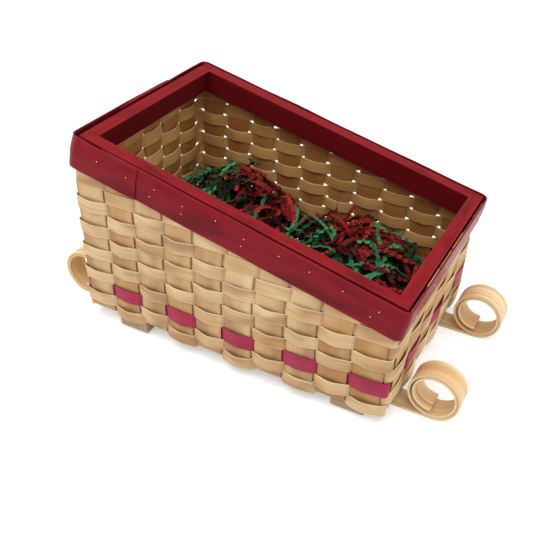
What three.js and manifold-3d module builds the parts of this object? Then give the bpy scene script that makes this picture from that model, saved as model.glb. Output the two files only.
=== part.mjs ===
// Sleigh hamper: a splint basket with a sloping stained rim, carried on two bentwood runners.
// Millimetres, +Z up, +X towards the low front of the sleigh, +Y to its left, floor at Z = 0.
import * as THREE from "three";
import { mergeVertices } from "three/addons/utils/BufferGeometryUtils.js";
import Module from "manifold-3d";

const wasm = await Module();
wasm.setup();

// Overall length, from scroll tip to scroll tip, and the gap that touching pieces keep
const OVERALL_LENGTH = 360;
const CLEARANCE = 0.3;

// Rim: a frame of four battens with a thin band outside, sloping down to the front
const RIM_SLOPE = THREE.MathUtils.degToRad(13.1);
const RIM_CENTRE_X = 7.3;
const RIM_CENTRE_HEIGHT = 139;
const OPENING_SET_IN = 13;
const OPENING_WIDTH = 152;
const BATTEN_THICKNESS = 10;
const BATTEN_HEIGHT = 20.5;
const BAND_THICKNESS = 1.4;
const BAND_HEIGHT = 25;
const BAND_DROP = 0.8;
const BAND_CORNER_RADIUS = 5;
const BAND_CORNER_STEPS = 5;

// Where the two bands end: on the right side from the frame's back, on the back from its right
const LONG_BAND_START = 22;
const LONG_BAND_END = 53;
const SHORT_BAND_BACK_REACH = 121;
const SHORT_BAND_SIDE_REACH = 55;

// Splints of the weave
const STAKE_THICKNESS = 0.8;
const WEAVER_THICKNESS = 0.6;
const ROWS = 12;
const TOP_ROW_SHOWING = 0.78;
const ROW_GAP = 1.4;
const STAKE_GAP = 2.6;
const WEAVE_SLACK = 0.15;
const CROSS_STAKES = 10;
const LONG_STAKES = 6;
const RED_ROW = 3;
const STAKE_BEND_RADIUS = 1.6;
const STAKE_BEND_STEPS = 3;
const STAKE_TOP_INSET = 1.5;
const FIRST_ROW_BEND_SHARE = 0.6;
const SIDE_CORNER_MARGIN = 2.7;
const END_CORNER_MARGIN = 6;
const WEAVER_CORNER_INSET = 1.2;
const WEAVER_END_GAP = 1;
const RIM_EASE = 0.25;
const BACK_RAKE = 2;
const FRONT_RAKE = 1.5;

// Where the closed rows begin: stakes past the front left corner, staggered from row to row
const ROW_START_STAKE = 2;
const ROW_START_STAGGER = 3;

// Bars and runners under the base
const BAR_THICKNESS = 9;
const BAR_WIDTH = 27;
const BACK_BAR_INSET = 45;
const FRONT_BAR_INSET = 29.5;
const RUNNER_WIDTH = 19.5;
const RUNNER_THICKNESS = 1.8;
const RUNNER_SPACING = 109;
const SCROLL_RADIUS = 21;
const SCROLL_STEP = 2.3;
const SCROLL_TURNS = 1.97;
const SCROLL_STEPS_PER_TURN = 24;

// Nails
const NAIL_HEAD_RADIUS = 2;
const NAIL_HEAD_THICKNESS = 0.8;
const NAIL_SHANK_RADIUS = 0.9;
const NAIL_POINT_LENGTH = 2;
const NAIL_SIDES = 10;
const RIM_NAIL_LENGTH = 26;
const RUNNER_NAIL_LENGTH = 8;

// Loose heap of shredded paper
const PAPER_EDGE_HEIGHT = 19;
const PAPER_MARGIN = 1.2;
const PAPER_COLUMNS = 14;
const PAPER_RANKS = 9;

// Mounds on the heap: middle as shares of its length and width, reach as a share of its length, and height
const PAPER_MOUNDS = [
  { along: 0.175, across: 0.83, reach: 0.22, height: 36 },
  { along: 0.69, across: 0.7, reach: 0.3, height: 24 },
];

// Crinkled strips that lie on top of the heap
const STRIPS = 52;
const STRIP_WIDTH = 3.4;
const STRIP_THICKNESS = 1.2;
const STRIP_INSET = 9;
const STRIP_FOLDS = 9;
const FOLD_PITCH = 7.5;
const FOLD_HEIGHT = 1.2;
const STRIP_LIFT = 2.6;
const STRIP_CURL = 0.02;
const STRIP_WAVE = 4.5;
const STRIP_WAVE_LENGTH = 45;

// Numbers whose multiples, less their whole part, spread the strips evenly
const PLASTIC_NUMBER = 1.32471796;
const GOLDEN_RATIO = 1.61803399;

// Finishes
const NATURAL_SPLINTS = ["#d8bb8c", "#cfae7d", "#dcc49b", "#c9a677", "#d3b48a"];
const STAIN_RED = "#96202f";
const STAIN_MAROON = "#7f1b30";
const BAR_BROWN = "#8d7658";
const RUNNER_HONEY = "#dcb27a";
const NAIL_GREY = "#b9b6ae";
const PAPER_GREEN = "#1f6b45";
const SPLINT_ROUGHNESS = 0.6;
const STAIN_ROUGHNESS = 0.5;
const BAR_ROUGHNESS = 0.75;
const NAIL_ROUGHNESS = 0.35;
const PAPER_ROUGHNESS = 0.8;

// Names of the ends and sides with their directions along X and Y
const ENDS = { back: -1, front: 1 };
const SIDES = { right: -1, left: 1 };

// Fineness of the trimmed stake tops and of the joining of corners
const TRIM_PASSES = 8;
const MERGE_DISTANCE = 1e-4;

// Sizes that follow from those above
const WEAVE_OFFSET = (STAKE_THICKNESS + WEAVER_THICKNESS) / 2 + CLEARANCE + WEAVE_SLACK;
const BASE_OFFSET = STAKE_THICKNESS + CLEARANCE + WEAVE_SLACK;
const RIM_GAP = 2 * (WEAVE_OFFSET + WEAVER_THICKNESS / 2 + RIM_EASE);
const OPENING_LENGTH = OVERALL_LENGTH - 2 * (2 * SCROLL_RADIUS + OPENING_SET_IN);
const FRAME_LENGTH = OPENING_LENGTH + 2 * BATTEN_THICKNESS;
const FRAME_WIDTH = OPENING_WIDTH + 2 * BATTEN_THICKNESS;
const WALL_Y = FRAME_WIDTH / 2 + RIM_GAP / 2;
const BAR_BOTTOM = RUNNER_THICKNESS + CLEARANCE;
const BAR_TOP = BAR_BOTTOM + BAR_THICKNESS;
const BASE_Z = BAR_TOP + CLEARANCE + BASE_OFFSET + STAKE_THICKNESS / 2;
const BASE_TOP = BASE_Z + BASE_OFFSET + STAKE_THICKNESS / 2;
const FIRST_ROW_Z = BASE_Z + BASE_OFFSET + FIRST_ROW_BEND_SHARE * STAKE_BEND_RADIUS;
const WALL_ALONG = FRAME_LENGTH / 2 + RIM_GAP / 2;
const RIM_DEPTH = Math.max(BATTEN_HEIGHT, BAND_DROP + BAND_HEIGHT);
const BACK_BAND_FOOT = rimPoint(-WALL_ALONG, -BAND_DROP - BAND_HEIGHT);
const ROW_PITCH = (BACK_BAND_FOOT.z - FIRST_ROW_Z) / (ROWS - 1 + TOP_ROW_SHOWING);
const WEAVER_WIDTH = ROW_PITCH - ROW_GAP;

// Place of a rim point, given along the rim and square to it, in the upright X and Z directions
function rimPoint(along, up) {
  return {
    x: RIM_CENTRE_X + along * Math.cos(RIM_SLOPE) + up * Math.sin(RIM_SLOPE),
    z: RIM_CENTRE_HEIGHT - along * Math.sin(RIM_SLOPE) + up * Math.cos(RIM_SLOPE),
  };
}

// Height at which the side stakes are trimmed, along the slope of the rim
function stakeTrimHeight(x) {
  const inset = STAKE_TOP_INSET / Math.cos(RIM_SLOPE);
  return RIM_CENTRE_HEIGHT - (x - RIM_CENTRE_X) * Math.tan(RIM_SLOPE) - inset;
}

function rowBottom(row) {
  return FIRST_ROW_Z + (row - 1) * ROW_PITCH;
}

// An end wall stands on the base and turns into the rim just above a whole row
function endWall(direction) {
  const along = direction * WALL_ALONG;
  const rimFoot = rimPoint(along, -RIM_DEPTH);
  const bandFoot = rimPoint(along, -BAND_DROP - BAND_HEIGHT);
  const rowsBelowTurn = Math.floor((rimFoot.z - FIRST_ROW_Z) / ROW_PITCH);
  const turnZ = rowBottom(rowsBelowTurn + 1) - ROW_GAP / 2;
  const turnX = rimFoot.x - (rimFoot.z - turnZ) * Math.tan(RIM_SLOPE);
  const rows = Math.ceil((bandFoot.z - FIRST_ROW_Z) / ROW_PITCH);
  const top = rimPoint(along, -STAKE_TOP_INSET);
  return { turnX, turnZ, rows, top };
}

const BACK_WALL = endWall(-1);
const FRONT_WALL = endWall(1);
const BACK_FOOT_X = BACK_WALL.turnX - BACK_RAKE;
const FRONT_FOOT_X = FRONT_WALL.turnX - FRONT_RAKE;
const CLOSED_ROWS = FRONT_WALL.rows;
const BARS = { back: BACK_FOOT_X + BACK_BAR_INSET, front: FRONT_FOOT_X - FRONT_BAR_INSET };

const CROSS_PITCH = (FRONT_FOOT_X - BACK_FOOT_X - 2 * SIDE_CORNER_MARGIN) / CROSS_STAKES;
const CROSS_WIDTH = CROSS_PITCH - STAKE_GAP;
const LONG_PITCH = (2 * WALL_Y - 2 * END_CORNER_MARGIN) / LONG_STAKES;
const LONG_WIDTH = LONG_PITCH - STAKE_GAP;

// Middle of an end wall's stakes at a height: raked up to the turn, then along the batten
function endWallX(wall, foot, z) {
  const share = Math.min(1, (z - BASE_Z) / (wall.turnZ - BASE_Z));
  return foot + (wall.turnX - foot) * share + Math.max(0, z - wall.turnZ) * Math.tan(RIM_SLOPE);
}

function backWallX(z) {
  return endWallX(BACK_WALL, BACK_FOOT_X, z);
}

function frontWallX(z) {
  return endWallX(FRONT_WALL, FRONT_FOOT_X, z);
}

// Middle of a cross stake on the side walls; the stakes near an end lean with that end wall
function crossStakeX(stake, z) {
  const share = (stake - 0.5) / CROSS_STAKES;
  const backLean = (backWallX(z) - BACK_FOOT_X) * (1 - share) ** 2;
  const frontLean = (frontWallX(z) - FRONT_FOOT_X) * share ** 2;
  return BACK_FOOT_X + SIDE_CORNER_MARGIN + (stake - 0.5) * CROSS_PITCH + backLean + frontLean;
}

function longStakeY(stake) {
  return (stake - (LONG_STAKES + 1) / 2) * LONG_PITCH;
}

function splintColour(index) {
  return NATURAL_SPLINTS[index % NATURAL_SPLINTS.length];
}

function material(color, roughness, metalness = 0) {
  return new THREE.MeshStandardMaterial({ color, roughness, metalness });
}

function signedVolume(positions, index) {
  const a = new THREE.Vector3();
  const b = new THREE.Vector3();
  const c = new THREE.Vector3();
  let total = 0;
  for (let i = 0; i < index.length; i += 3) {
    a.fromArray(positions, 3 * index[i]);
    b.fromArray(positions, 3 * index[i + 1]);
    c.fromArray(positions, 3 * index[i + 2]);
    total += a.dot(b.cross(c)) / 6;
  }
  return total;
}

// Closed geometry with its faces turned outwards
function closedGeometry(positions, index) {
  if (signedVolume(positions, index) < 0) {
    index.reverse();
  }
  const geometry = new THREE.BufferGeometry();
  geometry.setAttribute("position", new THREE.BufferAttribute(new Float32Array(positions), 3));
  geometry.setIndex(index);
  geometry.computeVertexNormals();
  return geometry;
}

// A strip of four-cornered sections joined end to end and closed at both ends
function stripGeometry(sections) {
  const positions = sections.flat(2);
  const index = [0, 2, 1, 0, 3, 2];
  for (let s = 0; s + 1 < sections.length; s += 1) {
    for (let k = 0; k < 4; k += 1) {
      const here = 4 * s + k;
      const next = 4 * s + ((k + 1) % 4);
      index.push(here, next, next + 4, here, next + 4, here + 4);
    }
  }
  const end = 4 * (sections.length - 1);
  index.push(end, end + 1, end + 2, end, end + 2, end + 3);
  return closedGeometry(positions, index);
}

function toSolid(geometry) {
  const bare = geometry.clone();
  bare.deleteAttribute("normal");
  bare.deleteAttribute("uv");
  const merged = mergeVertices(bare, MERGE_DISTANCE);
  const vertProperties = new Float32Array(merged.attributes.position.array);
  const triVerts = new Uint32Array(merged.index.array);
  return new wasm.Manifold(new wasm.Mesh({ numProp: 3, vertProperties, triVerts }));
}

// The first shape with the others cut away
function cutGeometry(geometry, cutters) {
  let solid = toSolid(geometry);
  for (const cutter of cutters) {
    solid = solid.subtract(toSolid(cutter));
  }
  const mesh = solid.getMesh();
  return closedGeometry(Array.from(mesh.vertProperties), Array.from(mesh.triVerts));
}

// Shapes that reach into each other, made one
function joinGeometry(geometries) {
  const mesh = wasm.Manifold.union(geometries.map(toSolid)).getMesh();
  return closedGeometry(Array.from(mesh.vertProperties), Array.from(mesh.triVerts));
}

// Quarter turn of a stake between wall and base, as points with their outward directions
function quarterBend(centre, height, side) {
  const points = [];
  for (let step = 0; step <= STAKE_BEND_STEPS; step += 1) {
    const angle = (Math.PI / 2) * (step / STAKE_BEND_STEPS);
    const out = side * Math.cos(angle);
    const down = -Math.sin(angle);
    points.push({
      across: centre + STAKE_BEND_RADIUS * out,
      z: height + STAKE_BEND_RADIUS * down,
      out,
      down,
    });
  }
  return points;
}

// Height at which one edge of a cross stake meets the slope that the stakes are trimmed to
function trimmedEdge(stake, edge) {
  let z = BACK_WALL.turnZ;
  for (let pass = 0; pass < TRIM_PASSES; pass += 1) {
    z = stakeTrimHeight(crossStakeX(stake, z) + (edge * CROSS_WIDTH) / 2);
  }
  return z;
}

// A cross stake runs down one side, under the base and up the other side
function crossStake(stake) {
  const bendY = WALL_Y - STAKE_BEND_RADIUS;
  const bendZ = BASE_Z + STAKE_BEND_RADIUS;
  const rightBend = quarterBend(-bendY, bendZ, -1);
  const leftBend = quarterBend(bendY, bendZ, 1).reverse();
  const trim = trimmedEdge(stake, 1);
  const turns = [FRONT_WALL.turnZ, BACK_WALL.turnZ].filter((z) => z < trim - ROW_GAP);
  const path = [
    { across: -WALL_Y, z: trim, out: -1, down: 0, trimmed: true },
    ...turns.toReversed().map((z) => ({ across: -WALL_Y, z, out: -1, down: 0 })),
    ...rightBend,
    ...leftBend,
    ...turns.map((z) => ({ across: WALL_Y, z, out: 1, down: 0 })),
    { across: WALL_Y, z: trim, out: 1, down: 0, trimmed: true },
  ];
  const half = STAKE_THICKNESS / 2;
  const sections = path.map((point) => {
    const corner = (edge, face) => {
      const z = point.trimmed ? trimmedEdge(stake, edge) : point.z;
      const x = crossStakeX(stake, z) + (edge * CROSS_WIDTH) / 2;
      return [x, point.across + face * half * point.out, z + face * half * point.down];
    };
    return [corner(-1, -1), corner(-1, 1), corner(1, 1), corner(1, -1)];
  });
  return stripGeometry(sections);
}

// A long stake runs down the back, over and under the cross stakes, and up the front
function longStake(stake) {
  const side = (cross) => ((cross + stake) % 2 === 0 ? 1 : -1);
  const baseZ = (cross) => BASE_Z + side(cross) * BASE_OFFSET;
  const backBendZ = baseZ(1) + STAKE_BEND_RADIUS;
  const frontBendZ = baseZ(CROSS_STAKES) + STAKE_BEND_RADIUS;
  const path = [
    { across: BACK_WALL.top.x, z: BACK_WALL.top.z, out: -1, down: 0 },
    { across: BACK_WALL.turnX, z: BACK_WALL.turnZ, out: -1, down: 0 },
    ...quarterBend(backWallX(backBendZ) + STAKE_BEND_RADIUS, backBendZ, -1),
  ];
  for (let cross = 1; cross <= CROSS_STAKES; cross += 1) {
    for (const edge of [-1, 1]) {
      const x = crossStakeX(cross, BASE_Z) + (edge * CROSS_WIDTH) / 2;
      path.push({ across: x, z: baseZ(cross), out: 0, down: -1 });
    }
  }
  path.push(
    ...quarterBend(frontWallX(frontBendZ) - STAKE_BEND_RADIUS, frontBendZ, 1).reverse(),
    { across: FRONT_WALL.turnX, z: FRONT_WALL.turnZ, out: 1, down: 0 },
    { across: FRONT_WALL.top.x, z: FRONT_WALL.top.z, out: 1, down: 0 },
  );
  const half = STAKE_THICKNESS / 2;
  const middle = longStakeY(stake);
  const sections = path.map((point) => {
    const corner = (edge, face) => [
      point.across + face * half * point.out,
      middle + (edge * LONG_WIDTH) / 2,
      point.z + face * half * point.down,
    ];
    return [corner(-1, -1), corner(-1, 1), corner(1, 1), corner(1, -1)];
  });
  return stripGeometry(sections);
}

// Stakes are numbered round the basket: right side, front, left side, back
const FIRST_FRONT = CROSS_STAKES + 1;
const FIRST_LEFT = FIRST_FRONT + LONG_STAKES;
const FIRST_BACK = FIRST_LEFT + CROSS_STAKES;
const STAKES_ROUND = 2 * (CROSS_STAKES + LONG_STAKES);

// Where a weaver passes one edge of a stake, at a height: edge -1 comes first on the way round
function stakePass(number, row, edge, z) {
  const out = (number + row) % 2 === 1 ? WEAVE_OFFSET : -WEAVE_OFFSET;
  if (number < FIRST_FRONT) {
    return { x: crossStakeX(number, z) + (edge * CROSS_WIDTH) / 2, y: -WALL_Y - out, nx: 0, ny: -1 };
  }
  if (number < FIRST_LEFT) {
    const y = longStakeY(number - FIRST_FRONT + 1) + (edge * LONG_WIDTH) / 2;
    return { x: frontWallX(z) + out, y, nx: 1, ny: 0 };
  }
  if (number < FIRST_BACK) {
    const stake = FIRST_BACK - number;
    return { x: crossStakeX(stake, z) - (edge * CROSS_WIDTH) / 2, y: WALL_Y + out, nx: 0, ny: 1 };
  }
  const y = longStakeY(STAKES_ROUND - number + 1) - (edge * LONG_WIDTH) / 2;
  return { x: backWallX(z) - out, y, nx: -1, ny: 0 };
}

// Rounding of a weaver at the corner that follows a stake, if one does
function cornerPass(number, z) {
  const front = frontWallX(z) - WEAVER_CORNER_INSET;
  const back = backWallX(z) + WEAVER_CORNER_INSET;
  const y = WALL_Y - WEAVER_CORNER_INSET;
  const corners = {
    [FIRST_FRONT - 1]: { x: front, y: -y, nx: Math.SQRT1_2, ny: -Math.SQRT1_2 },
    [FIRST_LEFT - 1]: { x: front, y, nx: Math.SQRT1_2, ny: Math.SQRT1_2 },
    [FIRST_BACK - 1]: { x: back, y, nx: -Math.SQRT1_2, ny: Math.SQRT1_2 },
    [STAKES_ROUND]: { x: back, y: -y, nx: -Math.SQRT1_2, ny: -Math.SQRT1_2 },
  };
  return corners[number];
}

// Stakes that an open row reaches on each side before the rim hides its end
function sideReach(row) {
  const top = rowBottom(row) + WEAVER_WIDTH;
  let reach = 1;
  while (reach < CROSS_STAKES) {
    const x = crossStakeX(reach + 1, top) + CROSS_WIDTH / 2;
    if (top > stakeTrimHeight(x)) {
      break;
    }
    reach += 1;
  }
  return reach;
}

// Stakes that a row passes, in order; a closed row starts and ends behind the same stake
function rowStakes(row) {
  const numbers = [];
  if (row <= CLOSED_ROWS) {
    const start = FIRST_LEFT + ROW_START_STAKE + (row % ROW_START_STAGGER);
    for (let k = 0; k <= STAKES_ROUND; k += 1) {
      numbers.push(((start - 1 + k) % STAKES_ROUND) + 1);
    }
    return numbers;
  }
  const reach = sideReach(row);
  for (let k = -reach; k < LONG_STAKES + reach; k += 1) {
    numbers.push(((FIRST_BACK - 1 + k) % STAKES_ROUND) + 1);
  }
  return numbers;
}

// Plan of a row at one height; the ends of a closed row meet with a small gap
function rowPlan(row, z) {
  const numbers = rowStakes(row);
  const last = numbers.length - 1;
  const closed = row <= CLOSED_ROWS;
  const endEdge = WEAVER_END_GAP / CROSS_WIDTH;
  const plan = [];
  numbers.forEach((number, k) => {
    const firstEdge = closed && k === 0 ? endEdge : -1;
    const lastEdge = closed && k === last ? -endEdge : 1;
    plan.push(stakePass(number, row, firstEdge, z), stakePass(number, row, lastEdge, z));
    const corner = cornerPass(number, z);
    if (corner && k < last) {
      plan.push(corner);
    }
  });
  return plan;
}

function weaver(row) {
  const lowZ = rowBottom(row);
  const highZ = lowZ + WEAVER_WIDTH;
  const low = rowPlan(row, lowZ);
  const high = rowPlan(row, highZ);
  const half = WEAVER_THICKNESS / 2;
  const place = (point, face, z) => [point.x + face * half * point.nx, point.y + face * half * point.ny, z];
  const sections = low.map((point, k) => [
    place(point, -1, lowZ),
    place(point, 1, lowZ),
    place(high[k], 1, highZ),
    place(high[k], -1, highZ),
  ]);
  return stripGeometry(sections);
}

// Nail along +Y with the top of its head at the origin, enlarged all round by ease for its hole
function nail(length, ease = 0, overrun = 0) {
  const head = NAIL_HEAD_RADIUS + ease;
  const shank = NAIL_SHANK_RADIUS + ease;
  const underHead = NAIL_HEAD_THICKNESS + ease;
  const profile = [
    new THREE.Vector2(0, -overrun),
    new THREE.Vector2(head, -overrun),
    new THREE.Vector2(head, underHead),
    new THREE.Vector2(shank, underHead),
    new THREE.Vector2(shank, length - NAIL_POINT_LENGTH + ease),
    new THREE.Vector2(0, length + ease),
  ];
  const lathe = new THREE.LatheGeometry(profile, NAIL_SIDES);
  lathe.deleteAttribute("normal");
  lathe.deleteAttribute("uv");
  const merged = mergeVertices(lathe, MERGE_DISTANCE);
  const index = [];
  for (let i = 0; i < merged.index.count; i += 3) {
    const corners = [merged.index.getX(i), merged.index.getX(i + 1), merged.index.getX(i + 2)];
    if (new Set(corners).size === 3) {
      index.push(...corners);
    }
  }
  return closedGeometry(Array.from(merged.attributes.position.array), index);
}

// Rim nails go through the end of a long batten into the end batten
function rimNail(end, side, ease = 0, overrun = 0) {
  const geometry = nail(RIM_NAIL_LENGTH, ease, overrun);
  if (side > 0) {
    geometry.rotateZ(Math.PI);
  }
  const x = end * (OPENING_LENGTH + BATTEN_THICKNESS) / 2;
  const y = side * (FRAME_WIDTH / 2 - CLEARANCE);
  return geometry.translate(x, y, -BATTEN_HEIGHT / 2);
}

function sideBatten(side) {
  const geometry = new THREE.BoxGeometry(FRAME_LENGTH, BATTEN_THICKNESS, BATTEN_HEIGHT);
  geometry.translate(0, side * (OPENING_WIDTH + BATTEN_THICKNESS) / 2, -BATTEN_HEIGHT / 2);
  const holes = Object.values(ENDS).map((end) => rimNail(end, side, CLEARANCE, NAIL_HEAD_THICKNESS));
  return cutGeometry(geometry, holes);
}

function endBatten(end) {
  const geometry = new THREE.BoxGeometry(BATTEN_THICKNESS, OPENING_WIDTH - 2 * CLEARANCE, BATTEN_HEIGHT);
  geometry.translate(end * (OPENING_LENGTH + BATTEN_THICKNESS) / 2, 0, -BATTEN_HEIGHT / 2);
  const holes = Object.values(SIDES).map((side) => rimNail(end, side, CLEARANCE, NAIL_HEAD_THICKNESS));
  return cutGeometry(geometry, holes);
}

// Rim band: a thin strip bent round the frame at a reach from the battens' outer faces
function bandStation(x, y, angle) {
  return { x, y, nx: Math.cos(angle), ny: Math.sin(angle) };
}

function bandCorner(reach, end, side, startAngle) {
  const radius = BAND_CORNER_RADIUS + reach - RIM_GAP;
  const x = end * (FRAME_LENGTH / 2 + reach - radius);
  const y = side * (FRAME_WIDTH / 2 + reach - radius);
  const stations = [];
  for (let step = 0; step <= BAND_CORNER_STEPS; step += 1) {
    const angle = startAngle + (Math.PI / 2) * (step / BAND_CORNER_STEPS);
    stations.push(bandStation(x + radius * Math.cos(angle), y + radius * Math.sin(angle), angle));
  }
  return stations;
}

function bandGeometry(stations) {
  const top = -BAND_DROP;
  const bottom = top - BAND_HEIGHT;
  const half = BAND_THICKNESS / 2;
  const place = (s, face, z) => [s.x + face * half * s.nx, s.y + face * half * s.ny, z];
  const sections = stations.map((s) => [
    place(s, -1, bottom),
    place(s, 1, bottom),
    place(s, 1, top),
    place(s, -1, top),
  ]);
  return stripGeometry(sections);
}

// The long band goes from the right side round the front and the left side to the back
function longBand() {
  const reach = RIM_GAP + BAND_THICKNESS / 2;
  const y = FRAME_WIDTH / 2 + reach;
  const x = FRAME_LENGTH / 2 + reach;
  return bandGeometry([
    bandStation(LONG_BAND_START - FRAME_LENGTH / 2, -y, -Math.PI / 2),
    ...bandCorner(reach, 1, -1, -Math.PI / 2),
    ...bandCorner(reach, 1, 1, 0),
    ...bandCorner(reach, -1, 1, Math.PI / 2),
    bandStation(-x, LONG_BAND_END - FRAME_WIDTH / 2, Math.PI),
  ]);
}

// The short band laps over both ends of the long one, round the back right corner
function shortBand() {
  const reach = RIM_GAP + BAND_THICKNESS + CLEARANCE + BAND_THICKNESS / 2;
  const y = FRAME_WIDTH / 2 + reach;
  const x = FRAME_LENGTH / 2 + reach;
  return bandGeometry([
    bandStation(-x, SHORT_BAND_BACK_REACH - FRAME_WIDTH / 2, Math.PI),
    ...bandCorner(reach, -1, -1, Math.PI),
    bandStation(SHORT_BAND_SIDE_REACH - FRAME_LENGTH / 2, -y, -Math.PI / 2),
  ]);
}

// Runner nails come up through a runner into a bar, their heads just inside the runner
function runnerNail(x, y, ease = 0, overrun = 0) {
  const geometry = nail(RUNNER_NAIL_LENGTH, ease, overrun);
  geometry.rotateX(Math.PI / 2);
  return geometry.translate(x, y, CLEARANCE);
}

function bar(x) {
  const geometry = new THREE.BoxGeometry(BAR_WIDTH, 2 * WALL_Y, BAR_THICKNESS);
  geometry.translate(x, 0, BAR_BOTTOM + BAR_THICKNESS / 2);
  const holes = Object.values(SIDES).map((side) => runnerNail(x, side * RUNNER_SPACING / 2, CLEARANCE));
  return cutGeometry(geometry, holes);
}

// Middle line of a runner: a scroll at each end winds in above the floor strip
function runnerLine() {
  const outer = SCROLL_RADIUS - RUNNER_THICKNESS / 2;
  const centreX = OVERALL_LENGTH / 2 - (SCROLL_RADIUS - SCROLL_STEP / 4);
  const steps = Math.round(SCROLL_TURNS * SCROLL_STEPS_PER_TURN);
  const scroll = (end) => {
    const points = [];
    for (let step = 0; step <= steps; step += 1) {
      const turn = (step / steps) * SCROLL_TURNS;
      const radius = outer - SCROLL_STEP * turn;
      const sideways = end * Math.sin(2 * Math.PI * turn);
      const down = Math.cos(2 * Math.PI * turn);
      points.push({
        x: end * centreX + radius * sideways,
        z: SCROLL_RADIUS - radius * down,
        nx: sideways,
        nz: -down,
      });
    }
    return points;
  };
  return [...scroll(-1).reverse(), ...scroll(1)];
}

function runner(side) {
  const half = RUNNER_THICKNESS / 2;
  const line = runnerLine();
  const offset = (p, reach) => new THREE.Vector2(p.x + reach * p.nx, p.z + reach * p.nz);
  const edge = (face) => line.map((p) => offset(p, face * half));
  const shape = new THREE.Shape([...edge(1), ...edge(-1).reverse()]);
  const geometry = new THREE.ExtrudeGeometry(shape, { depth: RUNNER_WIDTH, bevelEnabled: false });
  const middle = side * RUNNER_SPACING / 2;
  geometry.rotateX(Math.PI / 2);
  geometry.translate(0, middle + RUNNER_WIDTH / 2, 0);
  const holes = Object.values(BARS).map((x) => runnerNail(x, middle, CLEARANCE, NAIL_HEAD_THICKNESS));
  return cutGeometry(geometry, holes);
}

// Room for the heap, which can be lifted out between the battens
function paperRoom() {
  const lowX = rimPoint(-OPENING_LENGTH / 2, 0).x + PAPER_MARGIN;
  const highX = rimPoint(OPENING_LENGTH / 2, -BATTEN_HEIGHT).x - PAPER_MARGIN;
  const width = OPENING_WIDTH - 2 * PAPER_MARGIN;
  return { lowX, length: highX - lowX, lowY: -width / 2, width };
}

// Height of the packed paper: its edge plus mounds that fall away with the square of distance
function paperTop(room, x, y) {
  let top = BASE_TOP + CLEARANCE + PAPER_EDGE_HEIGHT;
  for (const mound of PAPER_MOUNDS) {
    const along = x - room.lowX - mound.along * room.length;
    const across = y - room.lowY - mound.across * room.width;
    top += mound.height * Math.exp(-((Math.hypot(along, across) / (mound.reach * room.length)) ** 2));
  }
  return top;
}

function fraction(value) {
  return value - Math.floor(value);
}

// Place of a strip's middle in a range, and the share of its half length that has room there
function strewn(low, length, share) {
  const place = low + STRIP_INSET + share * (length - 2 * STRIP_INSET);
  const halfStrip = (STRIP_FOLDS - 1) * FOLD_PITCH / 2;
  const space = Math.min(place - low, low + length - place) - STRIP_WIDTH / 2;
  return { place, reach: Math.min(1, space / halfStrip) };
}

// One strip of paper: a slight curl in plan, rising from the heap and sinking into it, folded to and fro
function paperStrip(room, number) {
  const along = strewn(room.lowX, room.length, fraction(number / PLASTIC_NUMBER));
  const across = strewn(room.lowY, room.width, fraction(number / PLASTIC_NUMBER ** 2));
  const heading = 2 * Math.PI * fraction(number * GOLDEN_RATIO);
  const curl = STRIP_CURL * (2 * fraction(number * Math.SQRT2) - 1);
  const phase = fraction(number * Math.sqrt(3));
  const points = [];
  for (let fold = 0; fold < STRIP_FOLDS; fold += 1) {
    const s = (fold - (STRIP_FOLDS - 1) / 2) * FOLD_PITCH;
    const turn = heading + curl * s / 2;
    const x = along.place + s * along.reach * Math.cos(turn);
    const y = across.place + s * across.reach * Math.sin(turn);
    const wave = STRIP_WAVE * Math.sin(2 * Math.PI * (s / STRIP_WAVE_LENGTH + phase));
    const crinkle = fold % 2 === 0 ? FOLD_HEIGHT : -FOLD_HEIGHT;
    points.push(new THREE.Vector3(x, y, paperTop(room, x, y) + STRIP_LIFT + wave + crinkle));
  }
  const sections = points.map((point, fold) => {
    const before = points[Math.max(0, fold - 1)];
    const after = points[Math.min(STRIP_FOLDS - 1, fold + 1)];
    const ahead = Math.hypot(after.x - before.x, after.y - before.y);
    const sideX = (before.y - after.y) / ahead * STRIP_WIDTH / 2;
    const sideY = (after.x - before.x) / ahead * STRIP_WIDTH / 2;
    const half = STRIP_THICKNESS / 2;
    return [
      [point.x - sideX, point.y - sideY, point.z - half],
      [point.x + sideX, point.y + sideY, point.z - half],
      [point.x + sideX, point.y + sideY, point.z + half],
      [point.x - sideX, point.y - sideY, point.z + half],
    ];
  });
  return stripGeometry(sections);
}

// Heap of shredded paper: a mounded block for what lies deep, with the strips on top of it
function paperHeap() {
  const room = paperRoom();
  const floor = BASE_TOP + CLEARANCE;
  const block = new THREE.BoxGeometry(room.length, room.width, 1, PAPER_COLUMNS, PAPER_RANKS);
  block.translate(room.lowX + room.length / 2, room.lowY + room.width / 2, 0);
  const place = block.attributes.position;
  for (let k = 0; k < place.count; k += 1) {
    place.setZ(k, place.getZ(k) < 0 ? floor : paperTop(room, place.getX(k), place.getY(k)));
  }
  const strips = [];
  for (let number = 1; number <= STRIPS; number += 1) {
    strips.push(paperStrip(room, number));
  }
  return joinGeometry([block, ...strips]);
}

function addPiece(group, name, geometry, finish) {
  const mesh = new THREE.Mesh(geometry, finish);
  mesh.name = name;
  group.add(mesh);
}

function twoDigits(number) {
  return String(number).padStart(2, "0");
}

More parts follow.
